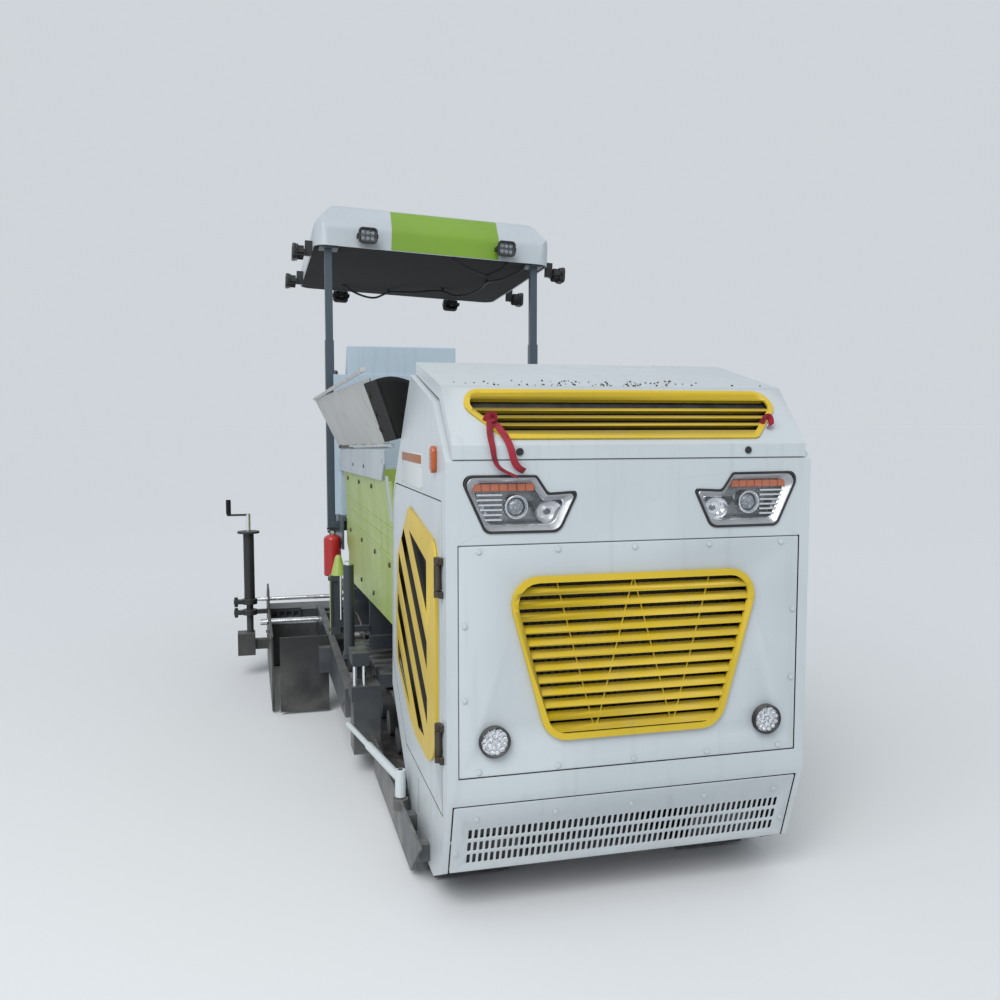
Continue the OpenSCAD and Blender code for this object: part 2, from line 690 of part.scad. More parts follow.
module auger_left() from_front() color("#6b7075") auger(1);
module auger_right() from_front() color("#6b7075") mirror([1, 0, 0]) auger(1);

module auger_carrier() from_front() color("#3a4046") {
    box([-60, auger_y - 70, 190], [60, auger_y + 70, 410]);
    box([-40, auger_y - 30, 410], [40, auger_y + 30, 580]);
}

// Platform, shield, console and canopy

module platform() from_front() color("#4a5057") {
    box([-640, 3205, deck_z - 30], [640, 4300, deck_z]);
    both_sides() {
        box([-640, 3205, 820], [-628, 4300, deck_z - 30]);
        for (y = [3760, 4270]) bar_z([-620, y], deck_z, 1950, 17);
        translate([-620, 3760, 1950]) sphere(r = 17, $fn = 32);
        translate([-620, 3760, 1950]) rotate([-90, 0, 0]) cylinder(r = 17, h = 510, $fn = 48);
        translate([-620, 4270, 1950]) sphere(r = 17, $fn = 32);
        translate([-620, 3760, 1500]) rotate([-90, 0, 0]) cylinder(r = 14, h = 510, $fn = 48);
    }
    box([-640, 4288, 820], [640, 4300, deck_z - 30]);
}

module shield() from_front() color("#dfe6ea") {
    box([-670, 3335, deck_z], [670, 3350, 1920]);
    box([-640, 3270, deck_z], [640, 3290, 1340]);
    for (x = [-640, 0, 620]) box([x, 3290, deck_z], [x + 20, 3335, 1300]);
}

module console() from_front() color("#dfe6ea") {
    side_plate(-580, 700) polygon([[3350, 1840], [3560, 1780], [3560, 1860], [3400, 2100],
                                   [3350, 2100]]);
    box([-520, 3350, deck_z], [-440, 3450, 1840]);
}

module seats() from_front() both_sides() {
    color("#33383d") {
        bar_z([-330, 4050], deck_z, 1380, 45);
        box([-450, 3930, 1380], [-210, 4170, 1400]);
        box([-430, 4150, 1388], [-230, 4262, 1400]);
        box([-360, 4244, 1388], [-300, 4262, 1560]);
    }
    color("#1d1f21") {
        translate([0, 0, 1400]) linear_extrude(100)
            rounded(rectangle([-550, 3830], [-110, 4240]), 60);
        translate([0, 4190, 1502]) rotate([-9, 0, 0]) front_plate(0, 80)
            rounded(rectangle([-540, 0], [-120, 480]), [60, 60, 110, 110]);
    }
}

// Square telescoping posts: the sleeve stands at the platform's side, the post slides in it
post_side = 47;
sleeve_side = 55;
sleeve_top = 2142;
module post_sleeves() from_front() both_sides() color("#3f4a53") difference() {
    union() {
        post_z([-post_x, post_y], deck_z - 130, sleeve_top, sleeve_side);
        box([-post_x, post_y - 50, deck_z - 120], [-640, post_y + 50, deck_z - 60]);
    }
    post_z([-post_x, post_y], deck_z + 60, sleeve_top + 1, post_side + 1.4);
}

canopy_at = [0, 3400, 2700];
canopy_h = 290;
canopy_skirt = 135;
canopy_slant = 120;
canopy_wall = 10;
module at_canopy() translate(canopy_at) rotate([-canopy_pitch, canopy_roll, 0]) children();

// Height of the canopy's underside over a point
function canopy_z(x, y) = canopy_at.z - x * tan(canopy_roll) - (y - canopy_at.y) * tan(canopy_pitch);

// Cross section of the roof: upright skirts, slanting shoulders and a flat top
function roof_section(half, grow) = [[-half - grow, 0], [half + grow, 0], [half + grow, canopy_skirt],
    [half + grow - canopy_slant, canopy_h + grow], [-half - grow + canopy_slant, canopy_h + grow],
    [-half - grow, canopy_skirt]];
roof_section_r = [0.1, 0.1, 90, 100, 100, 90];

function rectangle(low, high) = [low, [high.x, low.y], high, [low.x, high.y]];

module roof_plan(grow)
    rounded(rectangle([-canopy_w / 2 - grow, -grow], [canopy_w / 2 + grow, canopy_l + grow]), 90 + grow);

module roof_block(grow) intersection() {
    translate([0, canopy_l + grow, 0]) rotate([90, 0, 0]) linear_extrude(canopy_l + 2 * grow)
        rounded(roof_section(canopy_w / 2, grow), roof_section_r);
    translate([0, canopy_l / 2, 0]) side_plate(-canopy_w, 2 * canopy_w)
        rounded(roof_section(canopy_l / 2, grow), roof_section_r);
    linear_extrude(canopy_h + 20) roof_plan(grow);
}

module canopy_roof() from_front() color("#e9eceb") at_canopy() difference() {
    roof_block(0);
    translate([0, 0, -1]) roof_block(-canopy_wall);
}

module canopy_liner() from_front() color("#1d1f21") at_canopy() linear_extrude(6) roof_plan(-canopy_wall);

module canopy_posts() from_front() color("#3f4a53") {
    for (s = [-1, 1]) post_z([s * post_x, post_y], 1650, canopy_z(s * post_x, post_y) - 6, post_side);
    at_canopy() for (s = [-1, 1]) {
        x = s * (post_x - 2);
        box([x - 60, post_y - canopy_at.y - 60, -12], [x + 60, post_y - canopy_at.y + 60, 0]);
    }
}

// A work lamp that looks towards -y from a bracket on the plane y = 0
lamp_w = 132;
lamp_h = 108;
lamp_d = 85;
module work_lamp(reach, rise) {
    box([-lamp_w / 2, -lamp_d - reach, -lamp_h / 2], [lamp_w / 2, -reach, lamp_h / 2]);
    box([-15, -reach, -20], [15, 0, 20 + rise]);
}

module work_lamps() from_front() color("#15171a") at_canopy() {
    for (x = [-450, 450]) {
        translate([x, 0, 60]) work_lamp(20, 0);
        translate([x, canopy_l, -25]) rotate(180) work_lamp(20, 60);
    }
    both_sides() for (y = [110, 1130]) translate([-canopy_w / 2, y, -40]) rotate(-90) work_lamp(40, 60);
}

// The bottle's outline from its axis, [radius, height], and its corners' radii
bottle = [[0, 0], [55, 0], [55, 245], [18, 262], [18, 285], [0, 285]];
bottle_r = [1, 10, 26, 6, 1, 1];
module extinguisher() from_front() color("#b3261e") {
    translate([-697, 3270, 650]) rotate_extrude($fn = 48)
        polygon(concat([[0, 0]], [for (at = round_corners(bottle, bottle_r)) if (at.x > 1) at],
                       [[0, 285]]));
    box([-715, 3256, 933], [-679, 3284, 957]);
    box([-730, 3263, 945], [-652, 3277, 955]);
    box([-712, 3240, 850], [-640, 3300, 866]);
}

module guide_rod() from_front() color("#e4e7e6") {
    difference() {
        union() {
            bar_z([-667, 690], 194, 300, 20);
            translate([-667, 690, 262]) rotate([0, 0, 9.6]) rotate([-90, 0, 0]) {
                cylinder(r = 17, h = 420, $fn = 48);
                cylinder(r = 12, h = 740, $fn = 48);
            }
        }
        bar_z([-667, 690], 190, 310, 8 + running);
    }
}

main_frame();
engine_block();
radiator();
engine_housing();
front_panel();
front_grille();
lower_panel();
headlamps();
round_lamps();
marker_lamps();
hopper();
conveyor();
hinge_rails();
track_left();
track_right();
undercarriage_left();
undercarriage_right();
side_guards();
tow_columns();
platform();
shield();
console();
seats();
post_sleeves();
auger_carrier();
extinguisher();
hood();
hood_grille();
door_left();
door_grille_left();
door_right();
door_grille_right();
wing_left();
wing_flap_left();
wing_right();
wing_flap_right();
canopy_roof();
canopy_liner();
canopy_posts();
work_lamps();
tow_arms();
screed_body();
walkway();
screed_ext_left();
end_plate_left();
height_jack_left();
screed_ext_right();
end_plate_right();
height_jack_right();
auger_left();
auger_right();
guide_rod();
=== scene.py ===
# A small crawler asphalt paver: its finishes and its made details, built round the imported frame.
# Metres, +X right, +Y to the rear, +Z up, the ground at z = 0.
import json
import math
import random

import bmesh
import bpy
from mathutils import Matrix, Vector
from mathutils.geometry import intersect_line_line_2d


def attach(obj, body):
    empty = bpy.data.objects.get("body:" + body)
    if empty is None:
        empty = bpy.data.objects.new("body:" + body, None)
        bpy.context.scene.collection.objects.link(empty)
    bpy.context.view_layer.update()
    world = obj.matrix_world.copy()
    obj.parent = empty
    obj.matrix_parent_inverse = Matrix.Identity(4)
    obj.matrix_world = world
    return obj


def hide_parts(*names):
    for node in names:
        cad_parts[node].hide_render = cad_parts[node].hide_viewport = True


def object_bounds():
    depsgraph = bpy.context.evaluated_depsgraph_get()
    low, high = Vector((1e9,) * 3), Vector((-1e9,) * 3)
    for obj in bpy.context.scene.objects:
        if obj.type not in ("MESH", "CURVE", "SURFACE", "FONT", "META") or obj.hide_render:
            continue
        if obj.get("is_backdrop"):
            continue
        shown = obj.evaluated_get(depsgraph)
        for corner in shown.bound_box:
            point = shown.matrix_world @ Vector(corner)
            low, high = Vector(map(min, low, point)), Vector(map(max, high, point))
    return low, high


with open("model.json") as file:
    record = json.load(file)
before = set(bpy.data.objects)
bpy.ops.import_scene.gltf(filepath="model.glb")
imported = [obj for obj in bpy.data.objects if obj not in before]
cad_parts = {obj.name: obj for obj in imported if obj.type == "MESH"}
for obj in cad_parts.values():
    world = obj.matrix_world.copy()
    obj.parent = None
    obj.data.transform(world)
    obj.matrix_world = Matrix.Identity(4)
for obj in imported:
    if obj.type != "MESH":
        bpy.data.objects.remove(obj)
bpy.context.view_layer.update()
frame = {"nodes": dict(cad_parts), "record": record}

# The view and the light
# The camera stands where the picture's vanishing points and the housing's size put it, a little
# left of the machine at eye height. A pale floor and an even sky light the object softly.
FRONT_Y = -2.540
CAMERA_AT = (-1.2067, FRONT_Y - 2.8876, 1.62)
CAMERA_DOWN = 4.61
CAMERA_YAW = 14.61
CAMERA_LENS = 34.88
SUN_TURN = (38, -24, 0)
FILL_TURN = (52, 0, -52)
SKY_COLOUR, SKY_STRENGTH = (0.86, 0.93, 1.0, 1), 0.62
BACKDROP_COLOUR = (0.628, 0.662, 0.703, 1)
FLOOR_COLOUR = (0.70, 0.71, 0.72, 1)

bpy.ops.object.select_all(action="DESELECT")
bpy.ops.object.camera_add(
    location=CAMERA_AT, rotation=(math.radians(90 - CAMERA_DOWN), 0, math.radians(-CAMERA_YAW))
)
camera = bpy.context.object
camera.data.lens = CAMERA_LENS
camera.data.sensor_width = 36
camera.data.clip_end = 900
bpy.context.scene.camera = camera
bpy.context.scene.view_settings.view_transform = "Standard"

bpy.ops.object.light_add(type="SUN", location=(0, 0, 8), rotation=[math.radians(turn) for turn in SUN_TURN])
sun = bpy.context.object
sun.data.energy = 1.5
sun.data.angle = math.radians(35)
bpy.ops.object.light_add(
    type="AREA", location=(-4.5, FRONT_Y - 3.5, 5.0), rotation=[math.radians(turn) for turn in FILL_TURN]
)
fill = bpy.context.object
fill.data.energy = 160
fill.data.size = 4.0

world = bpy.data.worlds.new("even_sky")
bpy.context.scene.world = world
world.use_nodes = True
sky = world.node_tree
sky.nodes.clear()


def sky_node(kind, sources=(), **settings):
    """A node of the sky, its inputs linked in order to the sources."""
    node = sky.nodes.new("ShaderNode" + kind)
    for key, value in settings.items():
        setattr(node, key, value)
    for socket, source in zip(node.inputs, sources):
        sky.links.new(source, socket)
    return node


rays = sky_node("LightPath").outputs
mirrored = sky_node("Math", (rays["Is Glossy Ray"], rays["Is Transmission Ray"]), operation="MAXIMUM")
seen = sky_node("Math", (rays["Is Camera Ray"], mirrored.outputs[0]), operation="MAXIMUM")
soft_light = sky_node("Background")
soft_light.inputs["Color"].default_value = SKY_COLOUR
soft_light.inputs["Strength"].default_value = SKY_STRENGTH
backdrop = sky_node("Background")
backdrop.inputs["Color"].default_value = BACKDROP_COLOUR
sky_mix = sky_node("MixShader", (seen.outputs[0], soft_light.outputs[0], backdrop.outputs[0]))
sky_node("OutputWorld", (sky_mix.outputs[0],))

bpy.ops.mesh.primitive_plane_add(size=800, location=(0, 0, 0))
floor = bpy.context.object
floor.name = "floor"
floor.data.materials.append(bpy.data.materials.new("pale_floor"))
floor.data.materials[0].use_nodes = True
floor_shader = floor.data.materials[0].node_tree.nodes["Principled BSDF"]
floor_shader.inputs["Base Color"].default_value = FLOOR_COLOUR
floor_shader.inputs["Roughness"].default_value = 0.9
floor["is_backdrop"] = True


# Frame, engine and running gear
# Welded plate beams, an engine block on cross bars, and under each side a roller beam with its
# wheels. All of it is painted a dark slate, and road dust lies on every upward face.
class Value:
    """A number or colour that changes over a surface. Sums on it add Math nodes."""

    def __init__(self, finish, socket):
        self.finish = finish
        self.socket = socket

    def maths(self, operation, *others):
        return self.finish.node("ShaderNodeMath", {"operation": operation}, [self, *others])

    def __add__(self, other):
        return self.maths("ADD", other)

    def __rsub__(self, other):
        return self.finish.node("ShaderNodeMath", {"operation": "SUBTRACT"}, [other, self])

    def __mul__(self, other):
        return self.maths("MULTIPLY", other)

    __radd__ = __add__
    __rmul__ = __mul__

    def between(self, low, high):
        """0 at low, 1 at high, with a soft ramp between."""
        ramp = {"interpolation_type": "SMOOTHSTEP"}
        return self.finish.node("ShaderNodeMapRange", ramp, {"Value": self, "From Min": low, "From Max": high})


class Finish:
    """A material under construction: nodes are made by node(), and set() feeds the shader."""

    def __init__(self, name):
        self.material = bpy.data.materials.new(name)
        self.material.use_nodes = True
        self.tree = self.material.node_tree
        self.shader = self.tree.nodes["Principled BSDF"]
        self.place = self.node("ShaderNodeTexCoord", output="Object")
        split = self.node("ShaderNodeSeparateXYZ", inputs=[self.place])
        self.height = Value(self, split.socket.node.outputs["Z"])
        normal = self.node("ShaderNodeNewGeometry", output="Normal")
        facing = self.node("ShaderNodeSeparateXYZ", inputs=[normal])
        self.up = Value(self, facing.socket.node.outputs["Z"])

    def node(self, kind, settings=None, inputs=(), output=0):
        made = self.tree.nodes.new(kind)
        for key, value in (settings or {}).items():
            setattr(made, key, value)
        for key, value in inputs.items() if isinstance(inputs, dict) else enumerate(inputs):
            self.connect(made.inputs[key], value)
        return Value(self, made.outputs[output])

    def connect(self, socket, value):
        if isinstance(value, Value):
            self.tree.links.new(value.socket, socket)
        else:
            socket.default_value = value

    def noise(self, scale, detail=3.0, stretch=(1, 1, 1), roughness=0.55):
        place = self.node("ShaderNodeMapping", inputs={"Vector": self.place, "Scale": stretch})
        return self.node(
            "ShaderNodeTexNoise",
            inputs={"Vector": place, "Scale": scale, "Detail": detail, "Roughness": roughness},
        )

    def blend(self, factor, first, second):
        """first where factor is 0, second where it is 1; both are colours."""
        return self.node(
            "ShaderNodeMix", {"data_type": "RGBA", "clamp_factor": True}, {0: factor, 6: first, 7: second}, output=2
        )

    def set(self, **sockets):
        for key, value in sockets.items():
            self.connect(self.shader.inputs[key.replace("_", " ").title()], value)

    def bump(self, height, distance, strength=1.0):
        normal = self.node("ShaderNodeBump", inputs={"Height": height, "Distance": distance, "Strength": strength})
        self.connect(self.shader.inputs["Normal"], normal)


DUST = (0.42, 0.40, 0.36, 1)
GRIME = (0.10, 0.09, 0.08, 1)
PRIMER = (0.16, 0.12, 0.10, 1)


def paint(name, colour, gloss=0.35, dust=0.35, streaks=0.2, chips=0.1, dirt_top=0.5, dirt=0.4, coat=0.15):
    """Sprayed sheet metal: uneven colour, dust on upward faces, runs of dirt, chips to the primer."""
    f = Finish(name)
    base = (*colour, 1)
    deep = (colour[0] * 0.82, colour[1] * 0.83, colour[2] * 0.85, 1)
    patches = f.noise(1.3, 4).between(0.35, 0.7)
    cloth = f.blend(patches * 0.55, base, deep)
    runs = f.noise(9, 5, stretch=(3.2, 3.2, 0.16)).between(0.52, 0.78)
    cloth = f.blend(runs * streaks, cloth, GRIME)
    low = f.height.between(dirt_top, 0.0) * f.noise(5, 6).between(0.25, 0.7)
    cloth = f.blend(low * dirt, cloth, DUST)
    settled = f.up.between(0.25, 0.95) * f.noise(14, 6).between(0.2, 0.8)
    cloth = f.blend(settled * dust, cloth, DUST)
    flecks = f.noise(55, 4).between(0.70, 0.74) * f.noise(2.2, 2).between(0.45, 0.65)
    cloth = f.blend(flecks * chips, cloth, PRIMER)
    f.set(base_color=cloth)
    f.set(roughness=gloss + 0.25 * settled + 0.15 * patches + 0.2 * runs)
    f.shader.inputs["Coat Weight"].default_value = coat
    f.shader.inputs["Coat Roughness"].default_value = 0.25
    f.bump(f.noise(240, 2) * 0.35 + f.noise(3.5, 2), 0.0012, 0.35)
    return f.material


def metal(name, colour, roughness=0.35, scratches=0.5, dust=0.25):
    """Bare or plated metal, brushed along and dusted over."""
    f = Finish(name)
    base = (*colour, 1)
    dark = (colour[0] * 0.55, colour[1] * 0.52, colour[2] * 0.5, 1)
    stains = f.noise(11, 6).between(0.45, 0.75)
    tone = f.blend(stains * scratches, base, dark)
    settled = f.up.between(0.3, 1.0) * f.noise(20, 5).between(0.25, 0.8)
    f.set(base_color=f.blend(settled * dust, tone, DUST))
    f.set(metallic=1 - settled * dust)
    f.set(roughness=roughness + 0.3 * stains + 0.3 * settled)
    f.bump(f.noise(90, 3, stretch=(1, 1, 6)), 0.0006, 0.4)
    return f.material


def plastic(name, colour, roughness=0.5, dust=0.25, grain=300, depth=0.0004):
    """Moulded plastic or rubber with a fine grain and dust in it."""
    f = Finish(name)
    base = (*colour, 1)
    settled = f.up.between(0.1, 0.95) * f.noise(18, 5).between(0.25, 0.8)
    worn = f.noise(4, 5).between(0.4, 0.8)
    tone = f.blend(worn * 0.25, base, (colour[0] + 0.06, colour[1] + 0.06, colour[2] + 0.055, 1))
    f.set(base_color=f.blend(settled * dust, tone, DUST))
    f.set(roughness=roughness + 0.2 * settled + 0.12 * worn)
    f.bump(f.noise(grain, 2), depth, 0.5)
    return f.material


def pick(*pieces):
    """Only these pieces are selected, and the first is the active one."""
    bpy.ops.object.select_all(action="DESELECT")
    for piece in pieces:
        piece.select_set(True)
    bpy.context.view_layer.objects.active = pieces[0]


def settle(piece):
    """Moves a finished piece's place into its mesh and leaves its object at the origin."""
    pick(piece)
    bpy.ops.object.transform_apply(location=True, rotation=True, scale=True)


def smooth(degrees):
    """The active piece is shaded smooth, but stays sharp where it turns by more than this."""
    bpy.ops.object.shade_smooth_by_angle(angle=math.radians(degrees))


def modify(piece, kind, **settings):
    """Adds a modifier with these settings and applies it."""
    pick(piece)
    modifier = piece.modifiers.new(kind.lower(), kind)
    for key, value in settings.items():
        setattr(modifier, key, value)
    bpy.ops.object.modifier_apply(modifier=modifier.name)


def soften(piece, width, segments=3, angle=35):
    """Breaks a sheet or casting's hard edges with a small round, and keeps its flats flat."""
    modify(piece, "BEVEL", width=width, segments=segments, limit_method="ANGLE", angle_limit=math.radians(angle),
           miter_outer="MITER_ARC")
    smooth(angle)
    modify(piece, "WEIGHTED_NORMAL", keep_sharp=True)


def placed(name, data, finish):
    """A new object with one finish, picked for the next step."""
    piece = bpy.data.objects.new(name, data)
    bpy.context.scene.collection.objects.link(piece)
    data.materials.clear()
    data.materials.append(finish)
    pick(piece)
    return piece


def weld(piece, distance, flatten=False, outward=False):
    """Joins points that coincide, and may merge flat faces or turn all faces outwards."""
    pick(piece)
    bpy.ops.object.mode_set(mode="EDIT")
    bpy.ops.mesh.select_all(action="SELECT")
    bpy.ops.mesh.remove_doubles(threshold=distance)
    if flatten:
        bpy.ops.mesh.dissolve_limited(angle_limit=math.radians(0.6))
        bpy.ops.mesh.vert_connect_concave()
    if outward:
        bpy.ops.mesh.normals_make_consistent(inside=False)
    bpy.ops.object.mode_set(mode="OBJECT")


SLOTS = {part["node"]: part["material_slot"] for part in frame["record"]["subparts"]}


def add(piece, body, *nodes, slot=None):
    """The finished piece rides on its body and stands for its nodes; its slot is looked up in the record but not given
    to it.
    """
    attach(piece, body)
    if nodes:
        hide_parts(*nodes)
        slot = slot or SLOTS[nodes[0]]
    return piece


def formed(node, kind, finish, body="chassis", width=0.003, angle=35):
    """A node's own solid, its edges rounded as a press or a grinder leaves them."""
    piece = placed(f"{node}_{kind}", frame["nodes"][node].data.copy(), finish)
    weld(piece, 0.00002, flatten=width > 0)
    if width:
        soften(piece, width, angle=angle)
    else:
        smooth(angle)
    return add(piece, body, node)


def repaint(piece, finish, low, high):
    """Faces between two corners take another finish; both sides of the machine are treated alike."""
    piece.data.materials.append(finish)
    for face in piece.data.polygons:
        x, y, z = face.center
        place = (abs(x), y - FRONT_Y, z)
        if all(low[i] <= place[i] <= high[i] for i in range(3)):
            face.material_index = len(piece.data.materials) - 1


DARK_STEEL = paint("dark_slate_paint", (0.028, 0.035, 0.043), gloss=0.45, dust=0.32, streaks=0.08, chips=0.35,
                   dirt=0.35)
CAST = metal("engine_casting", (0.30, 0.31, 0.32), roughness=0.55, dust=0.5)
for name in ("main_frame", "undercarriage_left", "undercarriage_right", "side_guards", "auger_carrier"):
    formed(name, "welded", DARK_STEEL)
formed("engine_block", "cast", CAST, width=0.012)
CORE = plastic("cooler_core", (0.012, 0.013, 0.014), roughness=0.55, dust=0.15)
formed("radiator", "core", CORE, width=0)

# Tracks
# Steel shoes, each with one grouser bar, bolted to a link chain that runs round the wheels.
TRACK_STEEL = metal("track_shoe_steel", (0.11, 0.11, 0.115), roughness=0.5, scratches=0.7, dust=0.45)
WORN_STEEL = metal("worn_grouser_steel", (0.46, 0.46, 0.45), roughness=0.35, scratches=0.6, dust=0.3)
WHEELS = ((0.450, 0.220), (2.700, 0.175))  # places along the machine and radii
TIP_DEPTH = 0.0032  # grousers are worn bright to this depth


def depth_in_loop(y, z):
    """How far a point lies inside the loop round the two wheels, in a side view."""
    (y1, r1), (y2, r2) = WHEELS
    run = Vector((y2 - y1, r2 - r1))
    lean = math.asin((r1 - r2) / run.length)
    depths = []
    for side in (-1, 1):
        turn = math.atan2(run.y, run.x) + side * (math.pi / 2 - lean)
        out = Vector((math.cos(turn), math.sin(turn)))
        from_first = Vector((y - y1, z - r1))
        depths.append(r1 - from_first.dot(out))
    if y < y1:
        depths.append(r1 - math.hypot(y - y1, z - r1))
    if y > y2:
        depths.append(r2 - math.hypot(y - y2, z - r2))
    return min(depths)


for name in ("track_left", "track_right"):
    track = formed(name, "shoes", TRACK_STEEL, width=0.0015)
    track.data.materials.append(WORN_STEEL)
    for face in track.data.polygons:
        if depth_in_loop(face.center.y - FRONT_Y, face.center.z) < TIP_DEPTH:
            face.material_index = 1

# Engine housing and its panels
# Folded and welded sheet in white paint, its colour dimmed to a blue-grey as painted shade. The front panel hangs on
# domed screws and carries a yellow grille of pressed louvres; a slotted panel under it is screwed to the sloping foot
# of the housing.
# The white paint is written as a dimmed blue-grey: painted shade, as the housing stands in shade.
WHITE = paint("white_paint_dimmed_as_shade", (0.50, 0.545, 0.565), gloss=0.3, dust=0.20, streaks=0.10, chips=0.2, dirt=0.35)
YELLOW = paint("warning_yellow_paint", (0.60, 0.42, 0.012), gloss=0.35, dust=0.12, streaks=0.10, chips=0.2)
BLACK = plastic("black_plastic", (0.012, 0.012, 0.014), roughness=0.45)
FRONT = Matrix(((1, 0, 0, 0), (0, 0, -1, 0), (0, 1, 0, 0), (0, 0, 0, 1)))
SIDE = Matrix(((0, 0, 1, 0), (1, 0, 0, 0), (0, 1, 0, 0), (0, 0, 0, 1)))


def at(x, y, z):
    """A point counted from the middle of the housing's front face, back and up from the ground."""
    return Vector((x, FRONT_Y + y, z))


def front_plane(y, start=FRONT_Y):
    """The drawing plane [x, z] that faces the front, y behind the start."""
    return Matrix.Translation((0, start + y, 0)) @ FRONT


def side_plane(x):
    """The drawing plane [y, z] of a side wall, y counted from the housing's face."""
    return Matrix.Translation(at(x, 0, 0)) @ SIDE


def rounded(points, radii, steps=5):
    """A closed outline whose corners are turned on their own radii."""
    outline = []
    for i, point in enumerate(points):
        corner = Vector(point)
        radius = radii[i] if isinstance(radii, (list, tuple)) else radii
        before = (Vector(points[i - 1]) - corner).normalized()
        after = (Vector(points[(i + 1) % len(points)]) - corner).normalized()
        half = before.angle(after) / 2
        middle = corner + (before + after).normalized() * (radius / math.sin(half))
        first = corner + before * (radius / math.tan(half)) - middle
        last = corner + after * (radius / math.tan(half)) - middle
        for k in range(steps + 1):
            outline.append(middle + first.lerp(last, k / steps).normalized() * radius)
    return outline


def tile(low, high, radius, steps=5):
    """The outline of a rectangle with round corners, between two corners."""
    return rounded([low, (high[0], low[1]), high, (low[0], high[1])], radius, steps)


def inset(points, by):
    """An anticlockwise outline moved inwards."""
    moved = []
    for i, point in enumerate(points):
        before = (Vector(point) - Vector(points[i - 1])).normalized()
        after = (Vector(points[(i + 1) % len(points)]) - Vector(point)).normalized()
        inward = Vector((-before.y - after.y, before.x + after.x))
        moved.append(Vector(point) + inward * (by / (1 + before.dot(after))))
    return moved


def cut_sheet(name, loops, thickness, edge, place, finish):
    """Flat sheet cut to an outline and its holes, its edges softly rounded, laid on a drawing plane."""
    shape = bpy.data.curves.new(name, "CURVE")
    shape.dimensions = "2D"
    shape.fill_mode = "BOTH"
    for loop in loops:
        line = shape.splines.new("POLY")
        line.points.add(len(loop) - 1)
        for point, (x, y) in zip(line.points, loop):
            point.co = (x, y, 0, 1)
        line.use_cyclic_u = True
    shape.extrude = thickness / 2 - edge
    shape.bevel_depth = edge
    shape.bevel_resolution = 1
    shape.offset = -edge
    placed(name, shape, finish)
    bpy.ops.object.convert(target="MESH")
    sheet = bpy.context.object
    sheet.data.transform(place @ Matrix.Translation((0, 0, thickness / 2)))
    weld(sheet, 0.00002, outward=True)
    smooth(40)
    return sheet


def block(name, low, high, finish, edge=0.002, segments=2):
    """A block between two corners with rounded edges."""
    low, high = Vector(low), Vector(high)
    bpy.ops.mesh.primitive_cube_add(size=1, location=(low + high) / 2)
    piece = bpy.context.object
    piece.name = name
    piece.scale = high - low
    settle(piece)
    if edge:
        soften(piece, edge, segments)
    piece.data.materials.append(finish)
    return piece


def rod(name, start, end, radius, finish, sides=24, edge=0.0, end_radius=None):
    """A round bar, or a cone, from one point to another."""
    start, end = Vector(start), Vector(end)
    bpy.ops.mesh.primitive_cone_add(
        vertices=sides, radius1=radius, radius2=radius if end_radius is None else end_radius,
        depth=(end - start).length,
    )
    piece = bpy.context.object
    piece.name = name
    piece.data.materials.append(finish)
    if edge:
        soften(piece, edge, 2)
    else:
        smooth(40)
    turn = (end - start).to_track_quat("Z", "Y").to_matrix().to_4x4()
    piece.data.transform(Matrix.Translation((start + end) / 2) @ turn)
    return piece


def join(name, pieces):
    """Pieces that are one article become one mesh."""
    pick(*pieces)
    if len(pieces) > 1:
        bpy.ops.object.join()
    pieces[0].name = name
    pieces[0].data.name = name
    return pieces[0]


def copied(piece, place):
    """The same form again, with its own mesh, at another place."""
    other = bpy.data.objects.new(piece.name, piece.data.copy())
    bpy.context.scene.collection.objects.link(other)
    other.data.transform(place)
    return other


def screws(name, places, facing, finish, radius=0.009, height=0.005, sides=16):
    """A row of like screws: one domed or six-sided head, set at every place."""
    head = rod(name, (0, 0, 0), (0, 0, height), radius, finish, sides, edge=min(height, radius) * 0.45)
    turn = Vector(facing).to_track_quat("Z", "Y").to_matrix().to_4x4()
    heads = [copied(head, Matrix.Translation(place) @ turn) for place in places]
    bpy.data.objects.remove(head)
    return join(name, heads)


# Near-black foam lining; on gap edges and on the canopy liner it is also painted shade.
FOAM_AND_SHADE = plastic("sound_foam_and_painted_shade", (0.006, 0.006, 0.007), roughness=0.9, dust=0.05)
HINGE = metal("bare_hinge_steel", (0.10, 0.085, 0.07), roughness=0.5, scratches=0.6, dust=0.2)


def line_inside(piece, middle):
    """Near-black foam covers the faces that look to the middle of the engine bay; on the edges of openings and gaps
    the same finish is painted shade that darkens the gap lines.
    """
    piece.data.materials.append(FOAM_AND_SHADE)
    for face in piece.data.polygons:
        if (middle - face.center).dot(face.normal) > 0.01:
            face.material_index = len(piece.data.materials) - 1


housing = formed("engine_housing", "sheet", WHITE, width=0.004)
line_inside(housing, at(0, 0.5, 0.95))
DOOR_HINGES = (0.6262, 0, 0.5), (0.7, 0.12, 1.3)
repaint(housing, HINGE, *DOOR_HINGES)

GRILLE = [(-0.300, 0.606), (0.300, 0.606), (0.446, 1.137), (-0.446, 1.137)]
ROUND_LAMP = (-0.474, 0.619)


def circle(x, y, radius, steps=32):
    return [(x + radius * math.cos(i * math.tau / steps), y + radius * math.sin(i * math.tau / steps))
            for i in range(steps)]


panel_loops = [tile((-0.585, 0.506), (0.585, 1.237), 0.006), rounded(inset(GRILLE, 0.015), 0.073, 8),
               circle(ROUND_LAMP[0], ROUND_LAMP[1], 0.044), circle(-ROUND_LAMP[0], ROUND_LAMP[1], 0.044)]
front_panel = cut_sheet("front_panel_sheet", panel_loops, 0.008, 0.0015, front_plane(0.008), WHITE)
add(front_panel, "chassis", "front_panel")
formed("front_grille", "louvres", YELLOW, width=0)

